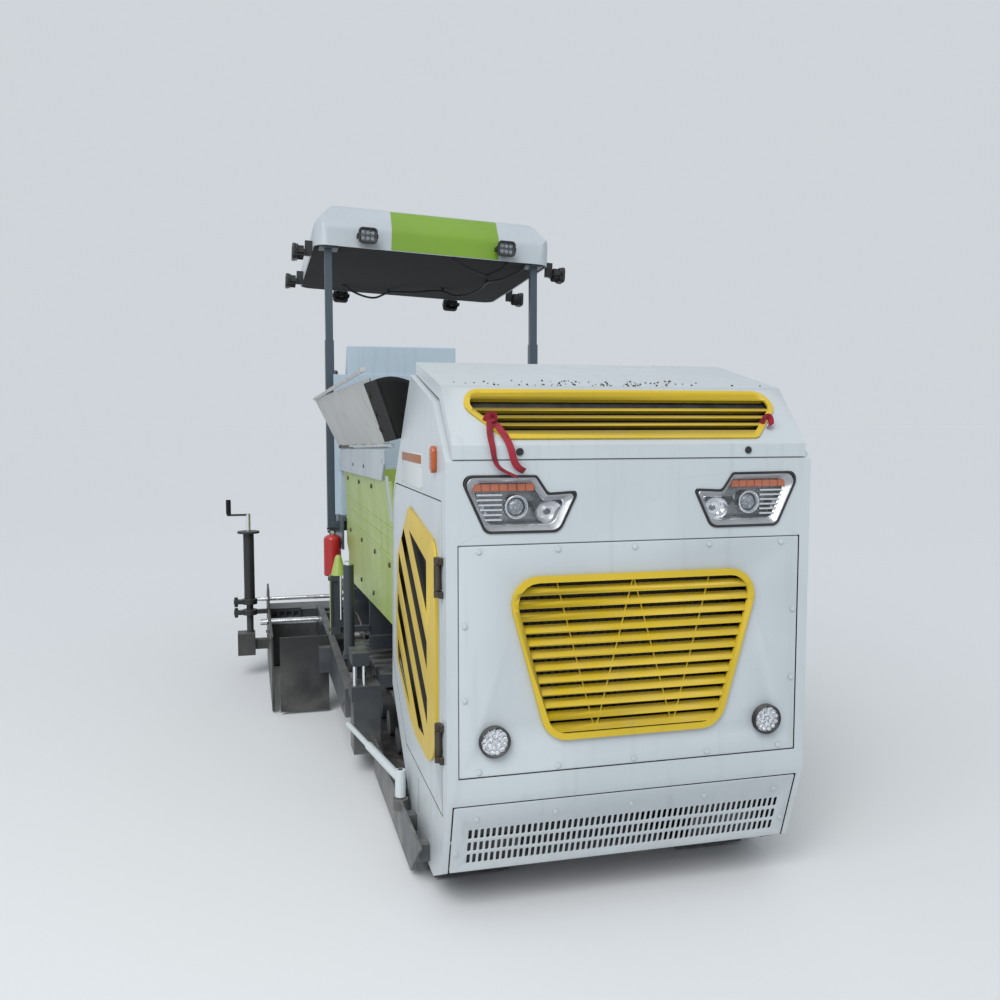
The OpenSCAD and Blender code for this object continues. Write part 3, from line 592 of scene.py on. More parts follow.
PANEL_SCREWS = [(x, 1.221) for x in (-0.523, -0.266, -0.006, 0.255, 0.519)]
PANEL_SCREWS += [(x, 0.522) for x in (-0.5235, -0.262, -0.002, 0.26, 0.526)]
PANEL_SCREWS += [(side * 0.569, z) for side in (-1, 1) for z in (0.755, 0.99)]
panel_heads = [at(x, -0.0005, z) for x, z in PANEL_SCREWS]
add(screws("front_panel_screws", panel_heads, (0, -1, 0), WHITE), "chassis", slot="white_paint")
FOOT_LEAN = math.atan2(0.085, 0.254)
FOOT = Matrix.Translation(at(0, 0.010, 0.412)) @ Matrix.Rotation(FOOT_LEAN, 4, "X") @ FRONT
SLOT_ROWS = (0.098, 0.148, 0.197)
SLOT_COUNT, SLOT_PITCH, SLOT_WIDTH, SLOT_LENGTH, SLOT_SHIFT = 56, 0.0198, 0.0115, 0.037, 0.004
foot_loops = [tile((-0.600, -0.268), (0.600, -0.007), 0.005)]
for row in SLOT_ROWS:
    for i in range(SLOT_COUNT):
        x = (i - (SLOT_COUNT - 1) / 2) * SLOT_PITCH + SLOT_SHIFT
        foot_loops.append(tile((x - SLOT_WIDTH / 2, -row - SLOT_LENGTH), (x + SLOT_WIDTH / 2, -row), 0.0045, 2))
foot_place = FOOT @ Matrix.Translation((0, 0, -0.003))
add(cut_sheet("lower_panel_sheet", foot_loops, 0.003, 0.0008, foot_place, WHITE), "chassis", "lower_panel")
FOOT_SCREWS = [(x, -0.058) for x in (-0.524, -0.260, 0.004, 0.268, 0.530)] + [(-0.584, -0.190), (0.584, -0.190)]


def direction(place, axis=(0, 0, 1)):
    """Where an axis of a placed drawing points."""
    return (place.to_3x3() @ Vector(axis)).normalized()


foot_heads = [FOOT @ Vector((x, y, -0.0005)) for x, y in FOOT_SCREWS]
add(screws("lower_panel_screws", foot_heads, direction(FOOT), WHITE), "chassis", slot="white_paint")

# Label plate and seams on the sides
# A blank printed plate is riveted behind the marker lamp, and the sheets of the wall meet at a seam.
PLATE_WHITE = plastic("plate_white", (0.56, 0.58, 0.58), roughness=0.4, dust=0.1)
PLATE_BROWN = plastic("plate_brown", (0.30, 0.11, 0.035), roughness=0.45, dust=0.1)
WALL_X = -0.6262
plate = [
    cut_sheet("plate", [tile((0.410, 1.386), (0.850, 1.512), 0.006)], 0.0014, 0.0003, side_plane(WALL_X), PLATE_WHITE),
    cut_sheet("plate_head", [tile((0.418, 1.474), (0.842, 1.505), 0.003)], 0.0012, 0.0003,
              side_plane(WALL_X - 0.0006), PLATE_BROWN),
    screws("rivets", [at(-0.626, y, z) for y in (0.417, 0.843) for z in (1.393, 1.465)], (-1, 0, 0), CAST,
           0.003, 0.0015, 12),
]
add(join("label_plate", plate), "chassis", slot="white_paint")


def add_pair(left, body, *nodes, slot=None):
    """A left piece and its mirror image, which is named alike and stands for the nodes."""
    slot = slot or SLOTS[nodes[0]]
    right = copied(left, Matrix.Scale(-1, 4, (1, 0, 0)))
    right.name = left.name.replace("left", "right")
    right.data.flip_normals()
    add(right, body.replace("left", "right"), *nodes, slot=slot)
    add(left, body, slot=slot)


seam = block("wall_seam_left", at(-0.6256, 0.5194, 0.195), at(-0.6246, 0.5212, 0.325), FOAM_AND_SHADE, 0.0003, 1)
add_pair(seam, "chassis", slot="white_paint")

# Headlamps
# A clear lens in a rubber gasket closes a chromed tub. In it sit a projector in a ribbed ring, an
# amber strip over the whole width, a finned reflector outside and a small bowl with two lights inside.
CHROME = metal("lamp_chrome", (0.80, 0.82, 0.84), roughness=0.14, scratches=0.15, dust=0.05)
SATIN = metal("satin_bezel", (0.42, 0.43, 0.45), roughness=0.35, scratches=0.2, dust=0.15)
AMBER = plastic("amber_lens", (0.40, 0.085, 0.018), roughness=0.18, dust=0.05, grain=180)
LAMP_OUTLINE = [(-0.580, 1.453), (-0.500, 1.279), (-0.262, 1.278), (-0.203, 1.400), (-0.300, 1.395),
                (-0.338, 1.451)]
LAMP_ROUND = [0.026, 0.026, 0.034, 0.010, 0.014, 0.012]
PROJECTOR = (-0.400, 1.356)


def clear(name, colour, alpha, roughness=0.04):
    """Clear moulded plastic, seen through but glossy."""
    f = Finish(name)
    f.set(base_color=(*colour, 1))
    f.set(roughness=roughness + 0.12 * f.noise(6, 4).between(0.4, 0.8))
    f.set(alpha=alpha + 0.5 * alpha * f.noise(9, 5).between(0.45, 0.8))
    f.shader.inputs["Coat Weight"].default_value = 0.6
    return f.material


def optic_with_painted_glints(name, colour, roughness=0.12):
    """A moulded optic of small facets, each painted with a highlight at its core and painted shade towards its rim."""
    f = Finish(name)
    cells = f.node("ShaderNodeTexVoronoi", inputs={"Vector": f.place, "Scale": 160})
    shade = (colour[0] * 0.4, colour[1] * 0.4, colour[2] * 0.42, 1)
    # Painted highlight at each facet's core, painted shade at its rim.
    f.set(base_color=f.blend(cells.between(0.1, 0.7), (*colour, 1), shade))
    f.set(roughness=roughness + 0.1 * cells)
    f.bump(cells, 0.0015, 0.6)
    f.shader.inputs["Coat Weight"].default_value = 0.7
    return f.material


def skin(name, rings, finish, closed=True, capped=False, angle=40):
    """A surface drawn from ring to ring; every ring has the same number of points."""
    mesh = bpy.data.meshes.new(name)
    count = len(rings[0])
    spans = count if closed else count - 1
    faces = []
    for r in range(len(rings) - 1):
        for i in range(spans):
            j = (i + 1) % count
            faces.append((r * count + i, r * count + j, (r + 1) * count + j, (r + 1) * count + i))
    if capped:
        faces.append(tuple(range(count))[::-1])
        faces.append(tuple(range((len(rings) - 1) * count, len(rings) * count)))
    mesh.from_pydata([tuple(p) for ring in rings for p in ring], [], faces)
    piece = placed(name, mesh, finish)
    weld(piece, 0.00001, outward=capped)
    smooth(angle)
    return piece


def lamp_ring(by, y):
    return [at(x, y, z) for x, z in rounded(inset(LAMP_OUTLINE, by), LAMP_ROUND)]


def turned(name, centre, profile, finish, steps=48, squash=1.0):
    """A form turned round an axis to the front; its profile is a row of radii and depths."""
    x, z = centre
    ring = circle(0, 0, 1, steps)
    return skin(name, [[at(x + r * u, y, z + r * v * squash) for u, v in ring] for r, y in profile], finish)


LED = optic_with_painted_glints("lamp_led", (0.95, 0.97, 1.0), 0.08)
LENS = optic_with_painted_glints("projector_lens", (0.30, 0.33, 0.36), 0.05)
PX, PZ = PROJECTOR
TUB = metal("lamp_tub", (0.20, 0.21, 0.22), roughness=0.22, scratches=0.3, dust=0.0)
BEZEL = ((0.002, -0.001), (0.004, -0.004), (0.007, -0.003), (0.020, 0.018), (0.022, 0.020), (0.025, 0.048))
BEZEL_EDGE = ((0.0185, 0.0160), (0.0195, 0.0150), (0.0215, 0.0175))
gasket_loops = [rounded(inset(LAMP_OUTLINE, -0.0045), [r + 0.004 for r in LAMP_ROUND]),
                rounded(inset(LAMP_OUTLINE, 0.002), LAMP_ROUND)[::-1]]
lamp = [
    cut_sheet("gasket", gasket_loops, 0.007, 0.002, front_plane(0.002), BLACK),
    skin("bezel", [lamp_ring(by, y) for by, y in BEZEL], SATIN),
    skin("bezel_edge", [lamp_ring(by, y) for by, y in BEZEL_EDGE], CHROME),
    cut_sheet("reflector", [rounded(inset(LAMP_OUTLINE, 0.024), LAMP_ROUND)], 0.004, 0.001, front_plane(0.051), TUB),
    cut_sheet("lens", [rounded(inset(LAMP_OUTLINE, 0.006), LAMP_ROUND)], 0.002, 0.0008, front_plane(-0.002),
              clear("lamp_cover", (0.55, 0.60, 0.64), 0.035)),
]
for i in range(7):
    x = -0.538 + i * 0.0285
    lamp.append(block("amber", at(x, 0.012, 1.405), at(x + 0.0270, 0.024, 1.428), AMBER, 0.003))
for i in range(6):
    z = 1.391 - i * 0.0155
    lamp.append(block("fin", at(-0.526 + i * 0.004, 0.012, z), at(-0.444, 0.050, z + 0.006), CHROME, 0.001))
RING_PROFILE = ((0.0385, 0.050), (0.0385, 0.006), (0.0370, 0.002), (0.0345, 0.001), (0.0325, 0.004),
                (0.0315, 0.008), (0.0300, 0.006), (0.0292, 0.010), (0.0285, 0.040))
lamp.append(turned("projector_ring", PROJECTOR, RING_PROFILE, CHROME))
lamp.append(rod("projector_well", at(PX, 0.040, PZ), at(PX, 0.026, PZ), 0.0290, BLACK, 40))
bpy.ops.mesh.primitive_uv_sphere_add(segments=32, ring_count=16, radius=0.0275, location=at(PX, 0.020, PZ))
lens = bpy.context.object
lens.scale = (1, 0.62, 1)
settle(lens)
bpy.ops.object.shade_smooth()
lens.data.materials.append(LENS)
lamp.append(lens)
BOWL_PROFILE = ((0.046, 0.022), (0.044, 0.028), (0.036, 0.038), (0.022, 0.046), (0.004, 0.048))
lamp.append(turned("bowl", (-0.288, 1.336), BOWL_PROFILE, CHROME, 32, 0.8))
lights = [(-0.529, 1.382), (-0.506, 1.354), (-0.497, 1.335), (-0.305, 1.349), (-0.279, 1.349), (-0.306, 1.322)]
lamp.append(screws("lamp_lights", [at(x, 0.030, z) for x, z in lights], (0, -1, 0), LED, 0.0075, 0.008))
# A flat black sheet in the lamp is painted shade for a small recess.
recess_shade_loop = rounded([(-0.352, 1.375), (-0.336, 1.340), (-0.314, 1.374)], 0.005)
lamp.append(cut_sheet("recess", [recess_shade_loop], 0.003, 0.001, front_plane(0.020), BLACK))
add_pair(join("headlamp_left", lamp), "chassis", "headlamps")

# Round lamps and marker lamps
# Each round lamp is a black ring with a ring of small moulded optics; the amber markers are ribbed.
RX, RZ = ROUND_LAMP
RIM_PROFILE = ((0.050, -0.002), (0.0505, -0.020), (0.048, -0.024), (0.045, -0.022), (0.043, -0.012))
round_lamp = [turned("lamp_ring", ROUND_LAMP, RIM_PROFILE, BLACK),
              rod("lamp_back", at(RX, 0.03, RZ), at(RX, -0.010, RZ), 0.0445, CHROME, 48)]
optic_places = [at(RX, -0.010, RZ)]
for count, r in ((6, 0.0175), (12, 0.0345)):
    for i in range(count):
        turn = (i + 0.5) * math.tau / count
        optic_places.append(at(RX + r * math.cos(turn), -0.010, RZ + r * math.sin(turn)))
round_lamp.append(screws("optics", optic_places, (0, -1, 0), LED, 0.0080, 0.007, 14))
LAMP_GLASS = clear("lamp_glass", (0.7, 0.75, 0.8), 0.05)
round_lamp.append(rod("lamp_glass", at(RX, -0.0175, RZ), at(RX, -0.0190, RZ), 0.0445, LAMP_GLASS, 48))
add_pair(join("round_lamp_left", round_lamp), "chassis", "round_lamps")
marker = [cut_sheet("marker", [tile((0.138, 1.457), (0.183, 1.544), 0.021)], 0.017, 0.005, side_plane(-0.642), AMBER)]
for i in range(5):
    z = 1.472 + i * 0.014
    marker.append(block("rib", at(-0.6435, 0.142, z), at(-0.640, 0.179, z + 0.004), AMBER, 0.001))
add_pair(join("marker_left", marker), "chassis", "marker_lamps")

# Hood and its grille
# A pressed white hood hinged at the rear. Yellow slats fill its slope, with a dark screen under them;
# two black plugs close its front lip, and crumbs of mix lie along the knee.
hood = formed("hood", "sheet", WHITE, "hood", width=0.005)
line_inside(hood, at(0, 0.35, 1.40))
formed("hood_grille", "slats", YELLOW, "hood", width=0)
HOOD_GRILLE = [(-0.435, 0.022), (0.435, 0.022), (0.553, 0.165), (0.518, 0.238), (-0.518, 0.238), (-0.553, 0.165)]
SLOPE = Matrix.Translation(at(0, 0, 1.548)) @ Matrix.Rotation(math.atan2(0.190, 0.180), 4, "X")
SCREEN = plastic("screen_mesh", (0.010, 0.010, 0.011), roughness=0.8, dust=0.1, grain=900, depth=0.0008)
screen_loop = rounded(HOOD_GRILLE, [0.03, 0.03, 0.05, 0.05, 0.05, 0.05])
screen_place = SLOPE @ Matrix.Translation((0, 0, -0.0215))
add(cut_sheet("hood_screen", [screen_loop], 0.002, 0.0005, screen_place, SCREEN), "hood", slot="black_paint")
plug_places = [at(x, -0.0005, 1.528) for x in (-0.391, 0.391)]
add(screws("hood_plugs", plug_places, (0, -1, 0), BLACK, 0.012, 0.005, 24), "hood", slot="black_paint")
CRUMB_COUNT = 90
KNEE_Y, KNEE_Z, KNEE_RISE = 0.180, 1.739, 0.2152
crumb_dice = random.Random(11)
crumbs = []
for i in range(CRUMB_COUNT):
    bpy.ops.mesh.primitive_ico_sphere_add(subdivisions=1, radius=crumb_dice.uniform(0.0015, 0.0048))
    crumb = bpy.context.object
    crumb.data.materials.append(CORE)
    for corner in crumb.data.vertices:
        corner.co *= crumb_dice.uniform(0.7, 1.15)
    back = KNEE_Y + 0.006 + 0.10 * crumb_dice.random() ** 2
    side = max(-0.55, min(0.55, crumb_dice.gauss(-0.05, 0.26)))
    crumb.data.transform(Matrix.Translation(at(side, back, KNEE_Z + (back - KNEE_Y) * KNEE_RISE)))
    crumbs.append(crumb)
add(join("mix_crumbs", crumbs), "hood", slot="black_paint")

# Red ribbon
# One length of dark red cloth, 22 mm wide, is knotted to the grille at its left end and hangs down over the
# lip in two tails; a short end of the same cloth is tied at the right.
CLOTH_RED = Finish("ribbon_cloth")
weave = CLOTH_RED.node("ShaderNodeTexWave", {"wave_type": "BANDS"}, {"Vector": CLOTH_RED.place, "Scale": 900.0})
RIBBON_RED, RIBBON_SHADE = (0.30, 0.012, 0.030, 1), (0.16, 0.008, 0.018, 1)
CLOTH_RED.set(base_color=CLOTH_RED.blend(CLOTH_RED.noise(30, 4).between(0.35, 0.7), RIBBON_RED, RIBBON_SHADE))
CLOTH_RED.set(roughness=0.75 + 0.1 * weave)
CLOTH_RED.bump(weave, 0.0003, 0.5)
RIBBON_WIDTH = 0.022


def smooth_path(points, steps=6):
    """A smooth line through a few points, even to walk along."""
    points = [Vector(point) for point in points]
    ends = [2 * points[0] - points[1], *points, 2 * points[-1] - points[-2]]
    line = []
    for i in range(len(points) - 1):
        a, b, c, d = ends[i:i + 4]
        for k in range(steps):
            t = k / steps
            spot = 2 * b + (c - a) * t + (2 * a - 5 * b + 4 * c - d) * t * t
            line.append(0.5 * (spot + (3 * b - a - 3 * c + d) * t ** 3))
    return [*line, points[-1]]


def length_of(line):
    return sum((b - a).length for a, b in zip(line, line[1:]))


def ribbon(name, tails):
    """Flat cloth strips along their paths, each turning a little as it hangs."""
    strips, total = [], 0
    for points, turns in tails:
        line = smooth_path([at(*point) for point in points])
        total += length_of(line)
        rows = []
        for i, point in enumerate(line):
            along = (line[min(i + 1, len(line) - 1)] - line[max(i - 1, 0)]).normalized()
            across = along.cross(Vector((0, -1, 0.35))).normalized()
            across.rotate(Matrix.Rotation(math.radians(turns[0] + (turns[1] - turns[0]) * i / len(line)), 3, along))
            rows.append([point + across * RIBBON_WIDTH * share for share in (-0.5, -0.17, 0.17, 0.5)])
        strips.append(skin("tail", rows, CLOTH_RED.material, closed=False))
    piece = join(name, strips)
    modify(piece, "SOLIDIFY", thickness=0.0006, offset=0)
    smooth(60)
    add(piece, "hood", slot="red_paint")


ribbon("ribbon_left", [
    ([(-0.470, 0.060, 1.632), (-0.478, 0.034, 1.607), (-0.482, 0.008, 1.574), (-0.481, -0.014, 1.545),
      (-0.473, -0.018, 1.500), (-0.452, -0.017, 1.474), (-0.401, -0.016, 1.450)], (10, -50)),
    ([(-0.466, 0.062, 1.634), (-0.452, 0.032, 1.606), (-0.434, 0.004, 1.572), (-0.424, -0.016, 1.540),
      (-0.413, -0.020, 1.498), (-0.398, -0.019, 1.478), (-0.380, -0.018, 1.468)], (-20, 55)),
    ([(-0.486, 0.058, 1.622), (-0.478, 0.050, 1.640), (-0.460, 0.054, 1.642), (-0.454, 0.050, 1.622),
      (-0.470, 0.040, 1.612)], (0, 120)),
])
ribbon("ribbon_right", [
    ([(0.466, 0.050, 1.614), (0.476, 0.044, 1.634), (0.496, 0.050, 1.636), (0.500, 0.044, 1.614),
      (0.484, 0.034, 1.604)], (10, 90)),
])

# Side doors
# White sheet doors on two bare steel hinges, foam on the inside, a yellow louvred grille outside and a
# dark screen behind it.
DOOR_WINDOW = [(0.298, 0.535), (0.600, 0.520), (0.950, 0.672), (0.968, 0.810), (0.908, 1.118), (0.770, 1.222),
               (0.640, 1.222), (0.298, 1.155)]
PLATE_MIDDLE, SLAT_BACK = 0.629, 0.6312  # distances from the middle plane
SLAT_AT, SLAT_PITCH, SLAT_LEAN = (0.340, 0.954), 0.192, math.radians(35)
SLAT_EDGE, SLAT_TRIM = (0.055, 0.066), 0.012  # an edge lies between these two heights off its slat's middle
SLAT_REACH = 0.06


def thinned(grille):
    """Makes a door grille's slats thin and slim, and keeps their ends on the edge of the window."""
    outline = inset(DOOR_WINDOW, -0.012)
    ring = list(zip(outline, outline[1:] + outline[:1]))
    window = [(Vector(a), Vector(b)) for a, b in zip(DOOR_WINDOW, DOOR_WINDOW[1:] + DOOR_WINDOW[:1])]
    along = Vector((math.cos(SLAT_LEAN), math.sin(SLAT_LEAN))) * SLAT_REACH
    for vertex in grille.data.vertices:
        y, z = vertex.co.y - FRONT_Y, vertex.co.z
        if not all((bx - ax) * (z - ay) > (by - ay) * (y - ax) for (ax, ay), (bx, by) in ring):
            continue
        if abs(vertex.co.x) < PLATE_MIDDLE:
            vertex.co.x = math.copysign(SLAT_BACK, vertex.co.x)
        off = z - SLAT_AT[1] - (y - SLAT_AT[0]) * math.tan(SLAT_LEAN)
        off = (off + SLAT_PITCH / 2) % SLAT_PITCH - SLAT_PITCH / 2
        if SLAT_EDGE[0] < abs(off) < SLAT_EDGE[1]:
            corner = Vector((y, z - math.copysign(SLAT_TRIM, off)))
            meets = [intersect_line_line_2d(corner - along, corner + along, a, b) for a, b in window]
            meets = [meet for meet in meets if meet] or [corner]
            corner = min(meets, key=lambda meet: (meet - corner).length)
            vertex.co.y, vertex.co.z = FRONT_Y + corner.x, corner.y


for side in ("left", "right"):
    door = formed("door_" + side, "sheet", WHITE, "door_" + side, width=0)
    line_inside(door, at(0, 0.55, 0.9))
    repaint(door, HINGE, *DOOR_HINGES)
    thinned(formed("door_grille_" + side, "slats", YELLOW, "door_" + side, width=0))
screen_loop = rounded(inset(DOOR_WINDOW, -0.014), 0.012)
add_pair(cut_sheet("door_screen_left", [screen_loop], 0.002, 0.0005, side_plane(-0.6032), SCREEN), "door_left",
         slot="black_paint")

# Hopper, conveyor and hinge rails
# Green plates folded along two lines and bolted to the outriggers; flat bars and slats carry the mix, and
# light grey rails bear the wings.
GREEN = paint("leaf_green_paint", (0.33, 0.43, 0.09), gloss=0.35, dust=0.15, streaks=0.45, chips=0.8, dirt_top=1.1,
              dirt=0.15)
RAIL = paint("light_grey_paint", (0.42, 0.46, 0.49), gloss=0.4, dust=0.2, streaks=0.25, chips=0.4)
formed("hopper", "plates", GREEN)
formed("conveyor", "bars", DARK_STEEL, width=0.001)
rails = formed("hinge_rails", "plate", RAIL, width=0.002)
repaint(rails, HINGE, (0.6488, 1.2, 1.40), (0.665, 3.25, 1.56))
HOPPER_X, LEAN_FROM = 0.612, 1.165
LEAN_OUT, LEAN_UP = 28, 235


def on_hopper(y, z, out=0.0):
    """A point on the left wall of the hopper, which leans out above its upper fold."""
    return at(-HOPPER_X - max(0, z - LEAN_FROM) * LEAN_OUT / LEAN_UP - out, y, z)


BOLT_PLACES = [(2.921, 1.288), (2.322, 1.300), (1.776, 1.312), (2.936, 0.975), (2.360, 0.982), (1.807, 0.990),
               (1.300, 0.996), (2.389, 0.760), (1.870, 0.775)]
FOLD_HEIGHTS = (1.030, 1.100, 1.158)
RAIL_SLOTS = ((1.95, 1.400), (2.45, 1.388))
bolt_places = [on_hopper(y, z, -0.0005) for y, z in BOLT_PLACES]
add_pair(screws("hopper_bolts_left", bolt_places, (-1, 0, 0), HINGE, 0.013, 0.008, 6), "chassis", slot="rail_paint")
folds = [block("fold", on_hopper(1.140, z - 0.007, 0.005), on_hopper(3.175, z + 0.007, -0.002), GREEN, 0.004)
         for z in FOLD_HEIGHTS]
add_pair(join("hopper_folds_left", folds), "chassis", slot="green_paint")
BAND = ((1.150, 0.006), (1.200, 0.006), (1.200, -0.001), (1.150, -0.001))
band_rows = [[on_hopper(y, z, out) for y, out in BAND] for z in (1.20, 1.25, 1.30, 1.35, 1.392)]
add_pair(skin("front_band_left", band_rows, RAIL, capped=True), "chassis", slot="rail_paint")
# The rail's slots are not cut: thin black sheets on its face are painted shade for the openings.
rail_slot_shades = [cut_sheet("slot", [tile((y - 0.030, z - 0.009), (y + 0.030, z + 0.009), 0.0088)], 0.0010, 0.0002,
                        side_plane(-0.6487), BLACK) for y, z in RAIL_SLOTS]
add_pair(join("rail_slots_left", rail_slot_shades), "chassis", slot="black_paint")

# Wings
# Each folding wing is a warm grey plate on a long hinge. A rubber flap is bolted along its front edge,
# and a rubber sheet bends from the flap in behind the housing.
WING_PAINT = paint("wing_grey_paint", (0.47, 0.47, 0.45), gloss=0.45, dust=0.2, streaks=0.35, chips=0.5, dirt=0)
RUBBER = plastic("sheet_rubber", (0.0025, 0.0025, 0.003), roughness=0.92, dust=0.02)
WING = (Matrix.Translation(at(-0.650, 3.200, 1.465)) @ Matrix.Rotation(math.radians(0.86), 4, "Z")
        @ Matrix.Rotation(math.radians(-1.575), 4, "X") @ Matrix.Rotation(math.radians(-25), 4, "Y"))
WING_BOLTS = ((-2.035, 0.080), (-2.100, 0.150), (-2.165, 0.232))
bolt_places = [WING @ Vector((-0.0097, y, z)) for y, z in WING_BOLTS]
wing_bolts = screws("wing_bolts_left", bolt_places, direction(WING, (-1, 0, 0)), HINGE, 0.013, 0.008, 6)
add_pair(wing_bolts, "wing_left", slot="worn_steel")
CURTAIN_ROWS, CURTAIN_COLUMNS = 12, 10
curtain_rows = []
for i in range(CURTAIN_ROWS + 1):
    up = i / CURTAIN_ROWS
    outer = WING @ Vector((-0.008, -2.290 - 0.174 * up, 0.030 + 0.245 * up))
    inner = at(-0.575, 1.030 - 0.055 * up, 1.560 + 0.225 * up)
    ragged = 0.010 * math.sin(i * 2.1) * (1 - up)
    row = []
    for k in range(CURTAIN_COLUMNS + 1):
        across = k / CURTAIN_COLUMNS
        belly = math.sin(across * math.pi)
        row.append(outer.lerp(inner, across) + Vector((0, 0.020 * belly + ragged * across, 0.014 * up * belly)))
    curtain_rows.append(row)
curtain = skin("wing_curtain_left", curtain_rows, RUBBER, closed=False, angle=60)
modify(curtain, "SOLIDIFY", thickness=0.004, offset=0)
add_pair(curtain, "wing_left", slot="rubber")
for side in ("left", "right"):
    wing = formed("wing_" + side, "plate", WING_PAINT, "wing_" + side, width=0.0015)
    repaint(wing, HINGE, (0.630, 1.2, 1.40), (0.665, 3.25, 1.482))
    formed("wing_flap_" + side, "rubber", RUBBER, "wing_" + side, width=0.001)

# Platform, shield and post sleeves
# Slate deck and rails of bent tube, a large pale shield in front of the operator, and square sleeves that
# the canopy's posts slide in.
PALE = paint("pale_blue_paint", (0.43, 0.52, 0.60), gloss=0.4, dust=0.15, streaks=0.15, chips=0.1)
SLATE = paint("slate_paint", (0.050, 0.072, 0.092), gloss=0.35, dust=0.2, streaks=0.1, chips=0.3)
formed("platform", "deck", SLATE)
formed("shield", "sheet", PALE)
formed("post_sleeves", "tube", SLATE, width=0.002)
TREAD_COUNT, TREAD_START, TREAD_PITCH = 12, 3.42, 0.068
treads = []
for i in range(TREAD_COUNT):
    y = TREAD_START + i * TREAD_PITCH
    treads.append(block("rib", at(-0.560, y, 1.0295), at(0.560, y + 0.012, 1.0325), SLATE, 0.001, 1))
add(join("deck_treads", treads), "chassis", slot="slate_paint")

# Console
# A pale folded box with a sloping black panel of knobs, two levers and a dark display.
DISPLAY = plastic("display_glass", (0.008, 0.010, 0.013), roughness=0.08, dust=0.05)
RED_KNOB = plastic("stop_knob_red", (0.50, 0.02, 0.02), roughness=0.3, dust=0.05)
formed("console", "box", PALE, width=0.006)
DESK = Matrix(((-1, 0, 0, 0.12), (0, -0.5547, 0.8321, FRONT_Y + 3.560), (0, 0.8321, 0.5547, 1.860), (0, 0, 0, 1)))
desk = [cut_sheet("desk", [tile((0.020, 0.018), (0.680, 0.270), 0.012)], 0.004, 0.001, DESK, BLACK),
        cut_sheet("display", [tile((0.250, 0.130), (0.450, 0.250), 0.006)], 0.010, 0.002,
                  DESK @ Matrix.Translation((0, 0, 0.002)), DISPLAY)]
KNOBS = [(0.055 + 0.062 * i, 0.052) for i in range(10)]
KNOBS += [(start + 0.055 * i, y) for start in (0.070, 0.500) for i in range(3) for y in (0.125, 0.200)]
knob_places = [DESK @ Vector((x, y, 0.003)) for x, y in KNOBS]
desk_out = direction(DESK)
desk.append(screws("knobs", knob_places, desk_out, BLACK, 0.013, 0.020, 20))
desk.append(screws("knob_rings", knob_places, desk_out, SATIN, 0.017, 0.005, 20))
desk.append(screws("stop", [DESK @ Vector((0.640, 0.240, 0.003))], desk_out, RED_KNOB, 0.019, 0.022, 24))
for x in (-0.10, -0.36):
    desk.append(rod("lever", at(x, 3.60, 1.79), at(x, 3.66, 1.93), 0.006, CHROME, 16))
    desk.append(rod("lever_grip", at(x, 3.655, 1.918), at(x, 3.680, 1.976), 0.016, BLACK, 20, 0.006, 0.020))
    desk.append(rod("lever_boot", at(x, 3.545, 1.790), at(x, 3.606, 1.803), 0.024, BLACK, 20, 0.004, 0.014))
add(join("control_panel", desk), "chassis", slot="black_paint")

# Seats
# Two foam seats in black leathercloth on steel pillars, crowned, with sewn channels and a welt round the edge.
COVER = plastic("seat_leathercloth", (0.014, 0.014, 0.016), roughness=0.5, dust=0.12, grain=420, depth=0.0005)
SEAT_FRAME = paint("seat_frame_paint", (0.02, 0.022, 0.025), gloss=0.4, dust=0.2)
SEAT_X = 0.330
PAN_FOOT = 1.3995
BRACKET_HALF, BRACKET_FRONT, BRACKET_TOP = 0.031, 4.243, 1.562
PAD_STEPS, PAD_SQUARE = 36, 5
RIM_SQUARE, RIM_ROUND = 6, 0.42
CHANNELS, CHANNEL_WIDTH, CHANNEL_DEPTH, CHANNEL_END = (-0.33, 0.33), 0.035, 0.007, 0.93
WELT_STEPS, WELT_RADIUS = 96, 0.004


def outwards(u, v):
    """How far out a point of a pad lies; the pad's edge, a square with round corners, is at 1."""
    return (abs(u) ** PAD_SQUARE + abs(v) ** PAD_SQUARE) ** (1 / PAD_SQUARE)


def cushion(name, width, depth, thick, crown, place):
    """A crowned pad: sides that pull in, a sewn edge half way up and two channels across."""
    count = PAD_STEPS + 1
    points, faces = [], []
    for face in (1, -1):
        start = len(points)
        for j in range(count):
            for i in range(count):
                u, v = -1 + 2 * i / PAD_STEPS, -1 + 2 * j / PAD_STEPS
                beyond = max(1, outwards(u, v) / max(abs(u), abs(v), 0.01))
                u, v = u / beyond, v / beyond
                rim = (1 - min(1, outwards(u, v)) ** RIM_SQUARE) ** RIM_ROUND
                height = face * thick / 2 * rim + face * crown * (1 - u * u) * (1 - v * v)
                if face > 0 and abs(u) < CHANNEL_END:
                    dip = sum(math.exp(-((v - line) / CHANNEL_WIDTH) ** 2) for line in CHANNELS)
                    height -= CHANNEL_DEPTH * dip * rim
                points.append((u * width / 2, v * depth / 2, max(height, -thick / 2) if face < 0 else height))
        for j in range(PAD_STEPS):
            for i in range(PAD_STEPS):
                first = start + j * count + i
                faces.append((first, first + 1, first + count + 1, first + count)[::face])
    mesh = bpy.data.meshes.new(name)
    mesh.from_pydata(points, [], faces)
    pad = placed(name, mesh, COVER)
    weld(pad, 0.0002, outward=True)
    bpy.ops.object.shade_smooth()
    rings = []
    for u, v in circle(0, 0, 1, WELT_STEPS):
        u, v = [math.copysign(abs(w) ** (2 / PAD_SQUARE), w) for w in (u, v)]
        edge = Vector((u * width / 2, v * depth / 2, 0))
        out = edge.normalized()
        rings.append([edge + out * a + Vector((0, 0, b)) for a, b in circle(0, 0, WELT_RADIUS, 8)])
    welt = skin("welt", rings + rings[:1], COVER, angle=60)
    pad = join(name, [pad, welt])
    pad.data.transform(place)
    return pad


